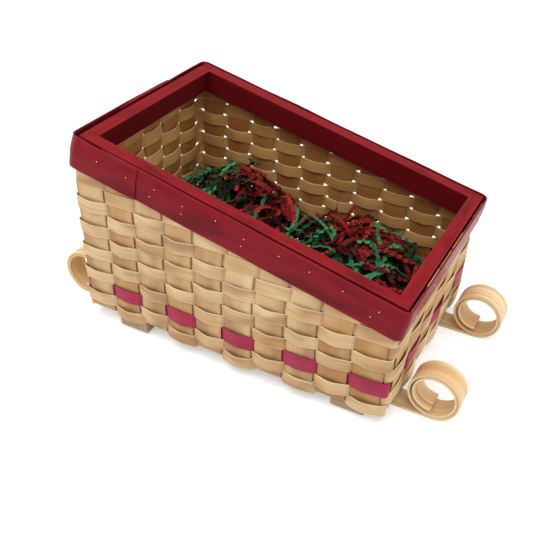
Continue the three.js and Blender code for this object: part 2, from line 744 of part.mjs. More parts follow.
function wovenBody() {
  const group = new THREE.Group();
  for (let stake = 1; stake <= CROSS_STAKES; stake += 1) {
    const finish = material(splintColour(stake), SPLINT_ROUGHNESS);
    addPiece(group, `cross_stake_${twoDigits(stake)}`, crossStake(stake), finish);
  }
  for (let stake = 1; stake <= LONG_STAKES; stake += 1) {
    const finish = material(splintColour(stake + CROSS_STAKES), SPLINT_ROUGHNESS);
    addPiece(group, `long_stake_${twoDigits(stake)}`, longStake(stake), finish);
  }
  for (let row = 1; row <= ROWS; row += 1) {
    const colour = row === RED_ROW ? STAIN_RED : splintColour(2 * row);
    addPiece(group, `weaver_row_${twoDigits(row)}`, weaver(row), material(colour, SPLINT_ROUGHNESS));
  }
  return group;
}

function rim() {
  const group = new THREE.Group();
  group.position.set(RIM_CENTRE_X, 0, RIM_CENTRE_HEIGHT);
  group.rotation.y = RIM_SLOPE;
  for (const [side, sign] of Object.entries(SIDES)) {
    addPiece(group, `rim_batten_${side}`, sideBatten(sign), material(STAIN_RED, STAIN_ROUGHNESS));
  }
  for (const [end, sign] of Object.entries(ENDS)) {
    addPiece(group, `rim_batten_${end}`, endBatten(sign), material(STAIN_RED, STAIN_ROUGHNESS));
  }
  addPiece(group, "rim_band_long", longBand(), material(STAIN_MAROON, STAIN_ROUGHNESS));
  addPiece(group, "rim_band_short", shortBand(), material(STAIN_MAROON, STAIN_ROUGHNESS));
  for (const [end, along] of Object.entries(ENDS)) {
    for (const [side, sign] of Object.entries(SIDES)) {
      const finish = material(NAIL_GREY, NAIL_ROUGHNESS, 1);
      addPiece(group, `rim_nail_${end}_${side}`, rimNail(along, sign), finish);
    }
  }
  return group;
}

function sledge() {
  const group = new THREE.Group();
  for (const [end, x] of Object.entries(BARS)) {
    addPiece(group, `base_bar_${end}`, bar(x), material(BAR_BROWN, BAR_ROUGHNESS));
  }
  for (const [side, sign] of Object.entries(SIDES)) {
    addPiece(group, `runner_${side}`, runner(sign), material(RUNNER_HONEY, SPLINT_ROUGHNESS));
    for (const [end, x] of Object.entries(BARS)) {
      const finish = material(NAIL_GREY, NAIL_ROUGHNESS, 1);
      addPiece(group, `runner_nail_${end}_${side}`, runnerNail(x, sign * RUNNER_SPACING / 2), finish);
    }
  }
  return group;
}

// The lapped band makes the right side thicker, so the whole is shifted to centre its box
const hamper = new THREE.Group();
hamper.position.y = (BAND_THICKNESS + CLEARANCE) / 2;
hamper.add(wovenBody(), rim(), sledge());
addPiece(hamper, "paper_fill", paperHeap(), material(PAPER_GREEN, PAPER_ROUGHNESS));

export default hamper;
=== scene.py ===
"""Sleigh hamper: a splint basket with a stained rim on two bentwood runners, dressed round its CAD frame."""

import math

import bpy
import numpy as np
from bpy.props import FloatProperty, FloatVectorProperty, IntProperty, PointerProperty
from mathutils import Matrix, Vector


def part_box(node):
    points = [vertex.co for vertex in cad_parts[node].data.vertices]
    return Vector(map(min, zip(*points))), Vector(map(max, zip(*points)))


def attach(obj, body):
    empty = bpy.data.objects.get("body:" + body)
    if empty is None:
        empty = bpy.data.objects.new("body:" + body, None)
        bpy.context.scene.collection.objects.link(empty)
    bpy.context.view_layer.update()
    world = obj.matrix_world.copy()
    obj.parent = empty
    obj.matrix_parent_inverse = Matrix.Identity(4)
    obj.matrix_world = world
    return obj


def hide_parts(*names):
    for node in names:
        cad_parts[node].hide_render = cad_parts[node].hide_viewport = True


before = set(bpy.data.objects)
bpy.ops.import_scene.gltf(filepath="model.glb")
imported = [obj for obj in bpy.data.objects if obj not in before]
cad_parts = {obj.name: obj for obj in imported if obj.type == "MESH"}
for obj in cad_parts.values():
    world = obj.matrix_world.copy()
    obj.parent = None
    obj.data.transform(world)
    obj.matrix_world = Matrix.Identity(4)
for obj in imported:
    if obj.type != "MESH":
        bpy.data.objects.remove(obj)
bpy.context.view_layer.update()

bl_info = {
    "name": "Sleigh Hamper",
    "version": (1, 0, 0),
    "blender": (4, 5, 0),
    "location": "View3D > Sidebar > Hamper",
    "description": "Builds a woven splint hamper on bentwood sleigh runners, piece by piece",
    "category": "Add Mesh",
}

MM = 0.001
QUARTER = math.pi / 2
HAMPER = "hamper"
PAPER = "paper"
SIDES = {"right": -1, "left": 1}
ENDS = {"back": -1, "front": 1}
UP = (0.0, 0.0, 1.0)
ROW_BOXES = [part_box(f"weaver_row_{row:02d}") for row in range(1, 13)]
BAR_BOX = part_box("base_bar_back")
# Spacing of the rows, half the basket's width and the shift of its middle plane, in millimetres
ROW_PITCH = (ROW_BOXES[-1][0].z - ROW_BOXES[0][0].z) / (len(ROW_BOXES) - 1) / MM
HALF_WIDTH = (BAR_BOX[1].y - BAR_BOX[0].y) / 2 / MM
WIDTH_SHIFT = (BAR_BOX[1].y + BAR_BOX[0].y) / 2 / MM
# A piece's grain starts anywhere in this many metres
GRAIN_RANGE = 5


def linear(hex_colour):
    """Linear red, green and blue of an sRGB hex colour."""
    shares = np.array([int(hex_colour[k : k + 2], 16) for k in (1, 3, 5)]) / 255
    curve = ((shares + 0.055) / 1.055) ** 2.4
    return tuple(np.where(shares <= 0.04045, shares / 12.92, curve).tolist())


def size(name, description, millimetres):
    """A length property, written in millimetres and held in metres."""
    return FloatProperty(name=name, description=description, default=millimetres * MM, unit="LENGTH")


def colour(name, description, hex_colour):
    """A colour property, written as sRGB hex and held as linear light."""
    return FloatVectorProperty(
        name=name, description=description, default=linear(hex_colour), subtype="COLOR", min=0, max=1
    )


def amount(name, description, number):
    """A property that counts something."""
    return IntProperty(name=name, description=description, default=number)


def angle(name, description, degrees):
    """An angle property, written in degrees and held in radians."""
    return FloatProperty(name=name, description=description, default=math.radians(degrees), subtype="ANGLE")


def spot(name, description, metres):
    """A property for a place, in metres."""
    return FloatVectorProperty(name=name, description=description, default=metres, unit="LENGTH")


def wattage(name, description, watts):
    """A property for a lamp's power, in watts."""
    return FloatProperty(name=name, description=description, default=watts, unit="POWER")


class HamperRim(bpy.types.PropertyGroup):
    """Sizes and stains of the sloping rim, with painted inside shade and painted edge highlights."""

    slope: angle("Slope", "Fall of the rim to the front", 13.1)
    centre_x: size("Centre X", "Place of the rim's centre along the sleigh", 7.3)
    centre_height: size("Centre height", "Height of the rim's top at its centre", 139)
    opening_length: size("Opening length", "Clear length between the end battens", 250)
    opening_width: size("Opening width", "Clear width between the side battens", 152)
    batten_thickness: size("Batten thickness", "Thickness of the battens", 10)
    batten_height: size("Batten height", "Height of the battens", 20.5)
    batten_ease: size("Batten ease", "Radius sanded on the battens' edges", 0.8)
    gap: size("Gap", "Room for the splints between battens and band", 3.4)
    band_thickness: size("Band thickness", "Thickness of the bent bands", 1.4)
    band_height: size("Band height", "Height of the bent bands", 25)
    band_drop: size("Band drop", "How far the band's top lies below the battens'", 0.8)
    band_corner: size("Band corner", "Inside radius of the bands' corners", 5)
    band_press: size("Band press", "How far the bands' upper edge is pressed in along the right side", 2.3)
    seam: size("Seam", "Gap between the lapped bands", 0.3)
    long_start: size("Long band start", "From the frame's back end along the right side", 22)
    long_end: size("Long band end", "From the frame's right end along the back", 53)
    short_back: size("Short band on the back", "From the frame's right end along the back", 121)
    short_side: size("Short band on the side", "From the frame's back end along the right side", 55)
    short_slant: size("Short band slant", "How much further the short band's lower corner reaches", 2.5)
    staple_radius: size("Staple wire", "Radius of a staple's clenched tip", 0.42)
    batten_red: colour("Batten red", "Stain of the battens", "#8c181f")
    batten_dark: colour("Batten dark", "Stain where the grain took more of it", "#620b12")
    # Painted shade: the faces round the opening are drawn darker to stand in for the shade inside the rim
    batten_inside_shade: colour("Batten inside", "Stain of the faces round the opening", "#5e0b12")
    band_maroon: colour("Band maroon", "Stain of the bands", "#861522")
    band_dark: colour("Band dark", "Stain in the bands' grain", "#600a15")
    # Stain rubbed thin along the edges, partly a painted highlight there
    worn_edge_and_highlight: colour("Worn edge", "Stain rubbed thin along the edges", "#9a3036")
    wire: colour("Wire", "Galvanised staple and nail wire", "#d8d5cd")


class HamperWeave(bpy.types.PropertyGroup):
    """Sizes and tones of the woven splints, with painted inner shade and painted edge highlights."""

    wall_y: size("Wall", "Half the width between the side walls' middles", HALF_WIDTH)
    centre_y: size("Centre Y", "Shift of the basket's middle plane", WIDTH_SHIFT)
    base_z: size("Base", "Height of the cross stakes' middle under the base", 13.05)
    base_offset: size("Base weave", "Height of the long stakes above and below the cross stakes", 1.25)
    back_foot_x: size("Back foot", "Place of the back wall at the base", -135.85)
    back_turn_x: size("Back turn", "Place of the back wall where it meets the rim", -133.85)
    back_turn_z: size("Back turn height", "Height at which the back wall turns along the rim", 135.56)
    front_foot_x: size("Front foot", "Place of the front wall at the base", 132.55)
    front_turn_x: size("Front turn", "Place of the front wall where it meets the rim", 134.05)
    front_turn_z: size("Front turn height", "Height at which the front wall turns along the rim", 80.56)
    cross_stakes: amount("Cross stakes", "Stakes along each side", 10)
    long_stakes: amount("Long stakes", "Stakes across each end", 6)
    side_margin: size("Side margin", "From a corner to the side stakes' spacing", 2.7)
    end_margin: size("End margin", "From a corner to the end stakes' spacing", 6)
    stake_gap: size("Stake gap", "Gap between neighbouring stakes", 2.6)
    stake_thickness: size("Stake thickness", "Thickness of the stakes", 0.8)
    stake_bend: size("Stake bend", "Radius of the stakes at the base's edge", 2.2)
    stake_sway: size("Stake sway", "How far the weavers push the stakes in and out", 0.4)
    stake_cup: size("Stake cup", "Rise of a stake's middle over its edges", 0.2)
    weaver_thickness: size("Weaver thickness", "Thickness of the weavers", 0.6)
    weaver_width: size("Weaver width", "Width of the weavers", 10.8)
    weaver_lift: size("Weaver lift", "How far a weaver passes from the stakes' middle at their edges", 0.85)
    weaver_bulge: size("Weaver bulge", "How much further it stands off at a stake's middle", 2.2)
    weaver_cup: size("Weaver cup", "Rise of a weaver's middle over its edges", 0.25)
    end_cover: size("End cover", "How far the ends of the partial rows lie below the rim's top", 9)
    corner_push: size("Corner push", "How far the weavers stand out at the basket's corners", 0.7)
    corner: size("Corner", "Radius of the weavers at the basket's corners", 4.5)
    first_row: size("First row", "Height of the lowest weaver's lower edge", ROW_BOXES[0][0].z / MM)
    row_pitch: size("Row pitch", "Spacing of the weavers", ROW_PITCH)
    drop_right: size("Drop right", "How far the rows hang below even heights on the right side", 6.6)
    drop_left: size("Drop left", "How far the rows hang below even heights on the left side", 1.8)
    belly: size("Belly", "How far the right wall stands out where it is fullest", 3.2)
    edge_sag: size("Edge sag", "How far the base's right edge hangs where the wall is fullest", 1.4)
    red_row: amount("Red row", "Row of the dyed weaver, from the base", 3)
    red_width: size("Red width", "Width of the dyed weaver", 12.7)
    cream: colour("Cream", "Palest splints", "#dfc194")
    honey: colour("Honey", "Warm splints", "#b78651")
    heartwood: colour("Heartwood", "Pinkish brown patches", "#a8836a")
    streak: colour("Streak", "Late wood in the grain", "#a0764a")
    # Painted warm shade: the inner faces of weavers and stakes are drawn darker and oranger, in place of the
    # shade and bounced light inside the basket
    weaver_inner_shade: colour("Weaver inside", "Coarser inner faces of the weavers", "#cb944f")
    stake_inner_shade: colour("Stake inside", "Coarser inner faces of the stakes", "#a56725")
    # Painted highlight: a pale cream along the weavers' edges, where light would come through between the rows
    edge_highlight: colour("Cut edge", "Edges of the splints, fresh from the knife", "#f0deba")
    raspberry: colour("Raspberry", "Dyed weaver", "#a82c4c")
    raspberry_dark: colour("Raspberry dark", "Grain of the dyed weaver", "#7a1832")


class HamperSledge(bpy.types.PropertyGroup):
    """Sizes and tones of the bars and runners."""

    bar_ease: size("Bar ease", "Radius of the bars' sawn edges", 0.5)
    half_length: size("Half length", "From the middle to a scroll's tip", 180)
    runner_width: size("Runner width", "Width of the runner strips", 19.5)
    runner_thickness: size("Runner thickness", "Thickness of the runner strips", 1.8)
    runner_spacing: size("Runner spacing", "Between the middles of the runners", 109)
    scroll_radius: size("Scroll radius", "Outside radius of the scrolls", 21)
    scroll_step: size("Scroll step", "How far a scroll closes in each turn", 2.1)
    scroll_turns: FloatProperty(name="Scroll turns", description="Turns of each scroll", default=2.0)
    scroll_spring: size("Scroll spring", "How far the inner end stands off the turn round it", 3.2)
    nail_head: size("Nail head", "Radius of the nail heads", 2)
    nail_shank: size("Nail shank", "Radius of the nail shanks", 0.9)
    runner_pale: colour("Runner pale", "Bent veneer of the runners", "#efd6ab")
    runner_honey: colour("Runner honey", "Warm bands of the runners", "#d09a58")
    bar_brown: colour("Bar brown", "Sawn bars", "#b8a187")
    bar_dark: colour("Bar dark", "Saw marks and grain of the bars", "#947a5c")


class HamperPaper(bpy.types.PropertyGroup):
    """Amount, sizes and colours of the shredded paper."""

    width: size("Width", "Width of a strip", 3.7)
    thickness: size("Thickness", "Thickness of a strip as drawn", 0.16)
    folds: amount("Folds", "Folds along each strip", 17)
    fold_pitch: size("Fold pitch", "Distance between folds", 3.75)
    crinkle: size("Crinkle", "Largest height of the folds", 1.8)
    edge_height: size("Edge height", "Height of the packed paper at its edge", 19)
    back_mound: FloatVectorProperty(
        name="Back mound", description="Middle, as shares along and across", default=(0.175, 0.83), size=2
    )
    back_reach: size("Back reach", "Distance at which the back mound falls away", 52)
    back_height: size("Back height", "Height of the back mound over the edge", 36)
    front_mound: FloatVectorProperty(
        name="Front mound", description="Middle, as shares along and across", default=(0.69, 0.7), size=2
    )
    front_reach: size("Front reach", "Distance at which the front mound falls away", 70.9)
    front_height: size("Front height", "Height of the front mound over the edge", 24)
    top_strips: amount("Top strips", "Strips on top of the heap", 52)
    top_inset: size("Top inset", "From the heap's side to the middle of a top strip", 9)
    top_lift: size("Top lift", "Mean height of a top strip over the packed paper", 2.6)
    top_wave: size("Top wave", "How far a top strip rises and sinks", 4.5)
    top_wave_length: size("Top wave length", "Distance in which it rises and sinks once", 45)
    top_curl: FloatProperty(
        name="Top curl", description="Largest turn of a top strip, in radians per metre", default=20
    )
    packed_strips: amount("Packed strips", "Strips that lie deeper", 560)
    settle: size("Settle", "Mean depth of a packed strip", 8)
    piled_strips: amount("Piled strips", "Strips that lie loose over the heap", 150)
    loose_strips: amount("Loose strips", "Strips that stick up from the heap", 26)
    green: colour("Green", "Bright side of the green strips", "#4a9764")
    # Painted shade: the strips' darker colours stand in for the shade inside the heap, and the deep strips get
    # most of them; they also give the mottle along each strip
    green_shade: colour("Green dark", "Dull side of the green strips", "#0a1407")
    red: colour("Red", "Bright side of the red strips", "#b02b29")
    red_shade: colour("Red dark", "Dull side of the red strips", "#240603")


class HamperStage(bpy.types.PropertyGroup):
    """Camera, lamps and floor."""

    camera_place: spot("Camera place", "Place of the camera", (0.250411, -0.484964, 0.420604))
    azimuth: angle("Azimuth", "Turn of the view round the hamper", 27.564)
    elevation: angle("Elevation", "Tilt of the view downwards", 35.373)
    roll: angle("Roll", "Lean of the view", -1.266)
    lens: FloatProperty(
        name="Lens", description="Focal length on a 36 mm sensor", default=51.16, unit="CAMERA", min=1
    )
    floor: colour("Floor", "Pale floor", "#eeeeee")
    floor_glow: FloatProperty(
        name="Floor glow", description="White added to the floor as seen", default=0.4
    )
    ambient: FloatProperty(name="Ambient", description="Even light from all round", default=0.42)
    top_place: spot("Top lamp place", "Place of the wide lamp", (0.05, -0.45, 1.5))
    top_width: size("Top lamp width", "Width of the wide lamp", 1800)
    top_power: wattage("Top lamp power", "Power of the wide lamp", 25.5)
    end_place: spot("End lamp place", "Place of the lamp off the low end", (1.2, 0.2, 0.3))
    end_width: size("End lamp width", "Width of the lamp off the low end", 600)
    end_power: wattage("End lamp power", "Power of the lamp off the low end", 3.8)
    back_place: spot("Back lamp place", "Place of the lamp off the high end", (-1.1, -0.5, 0.3))
    back_width: size("Back lamp width", "Width of the lamp off the high end", 600)
    back_power: wattage("Back lamp power", "Power of the lamp off the high end", 3.0)


# Shapes


# Faces that meet at more than this are shaded with a sharp edge
SHARP_ANGLE = math.radians(40)
# Sines by which a stake's width is uneven: lengths in millimetres, and swing as a share of the width
WIDTH_WAVES = (47, 83)
WIDTH_SWING = 0.008
# Where the right wall's bulge rises and falls along the sleigh, and how far it fades under the rim
BELLY_START = (-100 * MM, 20 * MM)
BELLY_END = (80 * MM, 130 * MM)
BELLY_FADE = 30 * MM
# How far up from the base its hanging edge fades, and the power by which it stays at the wall
SAG_FADE = 40 * MM
SAG_POWER = 12
# Points along a straight stick
STICK_POINTS = 60


def unit(vectors):
    """Each vector divided by its length."""
    return vectors / np.linalg.norm(vectors, axis=-1, keepdims=True)


def joined(*columns):
    """Points from their X, Y and Z, of which any may be one number for all."""
    return np.stack(np.broadcast_arrays(*columns), axis=-1).astype(float)


def smooth(value, low, high):
    """0 below low, 1 above high, and the cubic 3s^2 - 2s^3 between them."""
    share = np.clip((value - low) / (high - low), 0, 1)
    return share * share * (3 - 2 * share)


def section(width, thickness, ease, inner=(), side=(), steps=2):
    """Ring of a flat strip's section: front face, edge, back face, edge, with quarter rounds of radius ease.

    inner are the places across the faces and side the places on the edges that get points of their own.
    Returns the places across and through, and 1 on the rounds or 0 on the faces.
    """
    inner = np.asarray(inner, float)
    side = np.asarray(side, float)
    reach = width / 2 - ease
    depth = thickness / 2 - ease
    fan = np.linspace(0, QUARTER, steps + 1)
    rise = ease * np.sin(fan)
    fall = ease * np.cos(fan)
    across = [inner, reach + rise, np.full(side.size, width / 2), reach + fall]
    across += [inner[::-1], -reach - rise, np.full(side.size, -width / 2), -reach - fall]
    through = [np.full(inner.size, thickness / 2), depth + fall, side[::-1], -depth - rise]
    through += [np.full(inner.size, -thickness / 2), -depth - fall, side, depth + rise]
    edge = [np.full(len(part), number % 2, float) for number, part in enumerate(across)]
    return np.concatenate(across), np.concatenate(through), np.concatenate(edge)


def crowned(ring, width, cup):
    """Rise of a section's points over its edges: a parabola across the width, highest in the middle."""
    return cup * (1 - (2 * ring[0] / width) ** 2)


def sweep(path, across, ring_across, ring_through):
    """Rings of a section carried along a path.

    The section's through direction is the path's direction crossed with across, and across is squared to
    both.
    """
    ahead = unit(np.gradient(path, axis=0))
    through = unit(np.cross(ahead, np.broadcast_to(across, path.shape)))
    level = np.cross(through, ahead)
    sideways = level[:, None, :] * ring_across[..., None]
    return path[:, None, :] + sideways + through[:, None, :] * ring_through[..., None]


def travelled(path):
    """Distance along a path at each of its points."""
    steps = np.linalg.norm(np.diff(path, axis=0), axis=1)
    return np.concatenate([[0], np.cumsum(steps)])


def skin(stations, points):
    """Faces between rings of points in order, with one cap at each end."""
    grid = np.arange(stations * points).reshape(stations, points)
    after = np.roll(grid, -1, axis=1)
    quads = np.stack([grid[:-1], grid[1:], after[1:], after[:-1]], axis=-1).reshape(-1, 4)
    return quads.tolist() + [grid[0].tolist(), grid[-1][::-1].tolist()]


def copied(faces, copies, points):
    """Faces of several copies of a shape, each with the given number of points, one after another."""
    return [[point + copy * points for point in face] for copy in range(copies) for face in faces]


def place_piece(name, points, faces, values, finish, body, nodes):
    """A mesh piece with its attributes and finish, riding on a body in place of CAD nodes."""
    mesh = bpy.data.meshes.new(name)
    mesh.from_pydata(points.reshape(-1, 3), [], faces)
    for label, value in values.items():
        kind = "FLOAT_VECTOR" if value.ndim == 2 else "FLOAT"
        field = "vector" if value.ndim == 2 else "value"
        attribute = mesh.attributes.new(label, kind, "POINT")
        attribute.data.foreach_set(field, value.astype(np.float32).ravel())
    mesh.materials.append(finish)
    mesh.shade_smooth()
    mesh.set_sharp_from_angle(angle=SHARP_ANGLE)
    mesh.update()
    piece = bpy.data.objects.new(name, mesh)
    bpy.context.scene.collection.objects.link(piece)
    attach(piece, body)
    if nodes:
        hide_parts(*nodes)


def place_strip(prefix, node, rings, along, ring, tone, finish, inner=None):
    """A swept piece of the hamper in place of a CAD node, with grain that follows it.

    Attributes give each point's place along, across and through, its tone, and whether it lies on an edge or
    on the inside. inner marks the section's points on the inside, or those of its back half if not given.
    """
    ring_across, ring_through, edge = ring
    shape = rings.shape[:2]
    inside = ring_through < 0 if inner is None else inner
    values = {"grain": joined(along[:, None], ring_across, ring_through).reshape(-1, 3)}
    for label, value in (("tone", np.reshape(tone, (-1, 1))), ("edge", edge), ("inner", inside)):
        values[label] = np.broadcast_to(value, shape).ravel().astype(float)
    place_piece(f"{prefix}_{node}", rings, skin(*shape), values, finish, HAMPER, [node])


def stick(length, width, height, ease, support):
    """Rings of a straight stick along X with eased edges and ends, the distances along it, and its section.

    The end rings draw in by ease times one minus the sine of a quarter turn as they near the end. support is
    how far from the eased edges the faces get points of their own.
    """
    fan = np.linspace(0, QUARTER, 4)
    run = ease * (1 - np.cos(fan))
    draw = ease * (1 - np.sin(fan))
    between = np.linspace(0, length, STICK_POINTS)[4:-4]
    supports = [ease + support], [length - ease - support]
    places = np.concatenate([run, supports[0], between, supports[1], length - run[::-1]]) - length / 2
    inset = np.concatenate([draw, np.zeros(len(places) - 2 * len(draw)), draw[::-1]])
    wide = width / 2 - ease - support
    high = height / 2 - ease - support
    ring = section(width, height, ease, (-wide, 0, wide), (-high, 0, high), 3)
    shrink_across = 1 - 2 * inset[:, None] / width
    shrink_through = 1 - 2 * inset[:, None] / height
    path = joined(places, 0.0, 0.0)
    rings = sweep(path, (0, 1, 0), ring[0] * shrink_across, ring[1] * shrink_through)
    return rings, places + length / 2, ring


def turned(points):
    """Points turned a quarter round Z, from along X to along Y."""
    return joined(-points[..., 1], points[..., 0], points[..., 2])


def to_rim(points, rim, weave):
    """Points given along, across and square to the rim, turned down by its slope about its centre."""
    along, across, up = np.moveaxis(points, -1, 0)
    lean = math.sin(rim.slope)
    level = math.cos(rim.slope)
    return joined(
        rim.centre_x + along * level + up * lean,
        across + weave.centre_y,
        rim.centre_height - along * lean + up * level,
    )


def rim_height(x, below, rim):
    """Height of the rim's top over a place along the sleigh, less a distance square to it."""
    return rim.centre_height - (x - rim.centre_x) * math.tan(rim.slope) - below / math.cos(rim.slope)


def end_wall(z, foot, turn_x, turn_z, weave, rim):
    """Place of an end wall: a straight rake from foot to turn, then along the rim's batten."""
    share = np.minimum(1, (z - weave.base_z) / (turn_z - weave.base_z))
    return foot + (turn_x - foot) * share + np.maximum(0, z - turn_z) * math.tan(rim.slope)


def back_wall(z, weave, rim):
    """Place of the back wall at a height."""
    return end_wall(z, weave.back_foot_x, weave.back_turn_x, weave.back_turn_z, weave, rim)


def front_wall(z, weave, rim):
    """Place of the front wall at a height."""
    return end_wall(z, weave.front_foot_x, weave.front_turn_x, weave.front_turn_z, weave, rim)


def cross_pitch(weave):
    """Spacing of the cross stakes along a side."""
    return (weave.front_foot_x - weave.back_foot_x - 2 * weave.side_margin) / weave.cross_stakes


def long_pitch(weave):
    """Spacing of the long stakes across an end."""
    return 2 * (weave.wall_y - weave.end_margin) / weave.long_stakes


def cross_x(stake, z, weave, rim):
    """Middle of a cross stake: even spacing, plus the end walls' lean by the square of nearness."""
    share = (stake - 0.5) / weave.cross_stakes
    back_lean = (back_wall(z, weave, rim) - weave.back_foot_x) * (1 - share) ** 2
    front_lean = (front_wall(z, weave, rim) - weave.front_foot_x) * share**2
    start = weave.back_foot_x + weave.side_margin
    return start + (stake - 0.5) * cross_pitch(weave) + back_lean + front_lean


def long_y(stake, weave):
    """Middle of a long stake from the basket's middle plane."""
    return (stake - (weave.long_stakes + 1) / 2) * long_pitch(weave)


def plan_marks(low, high, half, radius):
    """Distances at which a walk round a rounded rectangle starts each side and each corner."""
    side = high - low - 2 * radius
    end = 2 * (half - radius)
    bend = radius * QUARTER
    return np.cumsum([0, side, bend, end, bend, side, bend, end, bend])


def plan_walk(t, low, high, half, radius):
    """Places and outward directions on a rounded rectangle, by the distance walked.

    The walk goes along the right side to the front, round the left side and the back. A place is that of
    the core rectangle, inset by the radius, plus the radius times the outward direction, which turns at the
    corners.
    """
    marks = plan_marks(low, high, half, radius)
    turn = np.interp(t, marks, np.repeat(np.arange(5), 2)[:-1] * QUARTER)
    near, far, reach = low + radius, high - radius, half - radius
    core_x = np.interp(t, marks, [near, far, far, far, far, near, near, near, near])
    core_y = np.interp(t, marks, [-reach, -reach, -reach, reach, reach, reach, reach, -reach, -reach])
    out = joined(np.sin(turn), -np.cos(turn), 0.0)
    return joined(core_x, core_y, 0.0) + radius * out, out


def uneven_width(along, first, last, rng):
    """Share of a stake's full width along it: an even taper, give or take two small sines."""
    waves = 2 * np.pi * (along[:, None] / (np.array(WIDTH_WAVES) * MM) + rng.uniform(size=2))
    taper = first + (last - first) * along[:, None] / along[-1]
    return taper + WIDTH_SWING * np.sin(waves).sum(axis=1, keepdims=True)


def row_drop(y, weave):
    """How far the rows hang below even heights across the basket: a straight slope from side to side."""
    right = (1 - y / weave.wall_y) / 2
    return weave.drop_left + (weave.drop_right - weave.drop_left) * right


def row_at(y, z, weave):
    """Number of the row at a place on the wall, with parts of a row."""
    return (z + row_drop(y, weave) - weave.first_row - weave.weaver_width / 2) / weave.row_pitch + 1


def bellied(points, weave, rim):
    """Points of the weave with its right wall pressed out and the base's right edge hanging.

    Smooth steps bring the bulge up from the back corner and down to half at the front corner and to nothing
    under the rim's band, and it falls evenly to the basket's middle plane. The edge hangs by a high
    power of the nearness to the right wall, and less up the wall.
    """
    x, y, z = np.moveaxis(points, -1, 0)
    along = smooth(x, *BELLY_START) * (1 - 0.5 * smooth(x, *BELLY_END))
    below_rim = smooth(rim_height(x, rim.band_drop + rim.band_height, rim) - z, 0, BELLY_FADE)
    right = np.clip((weave.centre_y - y) / weave.wall_y, 0, 1)
    low = 1 - smooth(z, weave.base_z, weave.base_z + SAG_FADE)
    bulge = weave.belly * along * below_rim * right
    sag = weave.edge_sag * along * low * right**SAG_POWER
    return points - joined(0.0, bulge, sag)


# Finishes


# Late wood on a back face, as a share of the face's colour
LATE_SHADE = 0.55
# Lengths of a fibre and of a patch in their own widths
FIBRE_LENGTH = 45
PATCH_LENGTH = 3
# Sockets of a node that mixes colours: the share, the two colours and the mixed one
MIX_SHARE = 0
MIX_FIRST = 6
MIX_SECOND = 7
MIXED = 2


def add_node(tree, kind, inputs=None, **settings):
    """Adds a node with its settings, and sets each input to a value or links it to a socket."""
    node = tree.nodes.new(kind)
    for label, value in settings.items():
        setattr(node, label, value)
    for key, value in (inputs or {}).items():
        if isinstance(value, bpy.types.NodeSocket):
            tree.links.new(value, node.inputs[key])
        else:
            node.inputs[key].default_value = value
    return node


def bare_material(name):
    """A new material with an empty node tree."""
    finish = bpy.data.materials.new(name)
    finish.use_nodes = True
    finish.node_tree.nodes.clear()
    return finish


def opaque(values):
    """A colour property with full alpha, for a colour socket."""
    return (*values, 1.0)


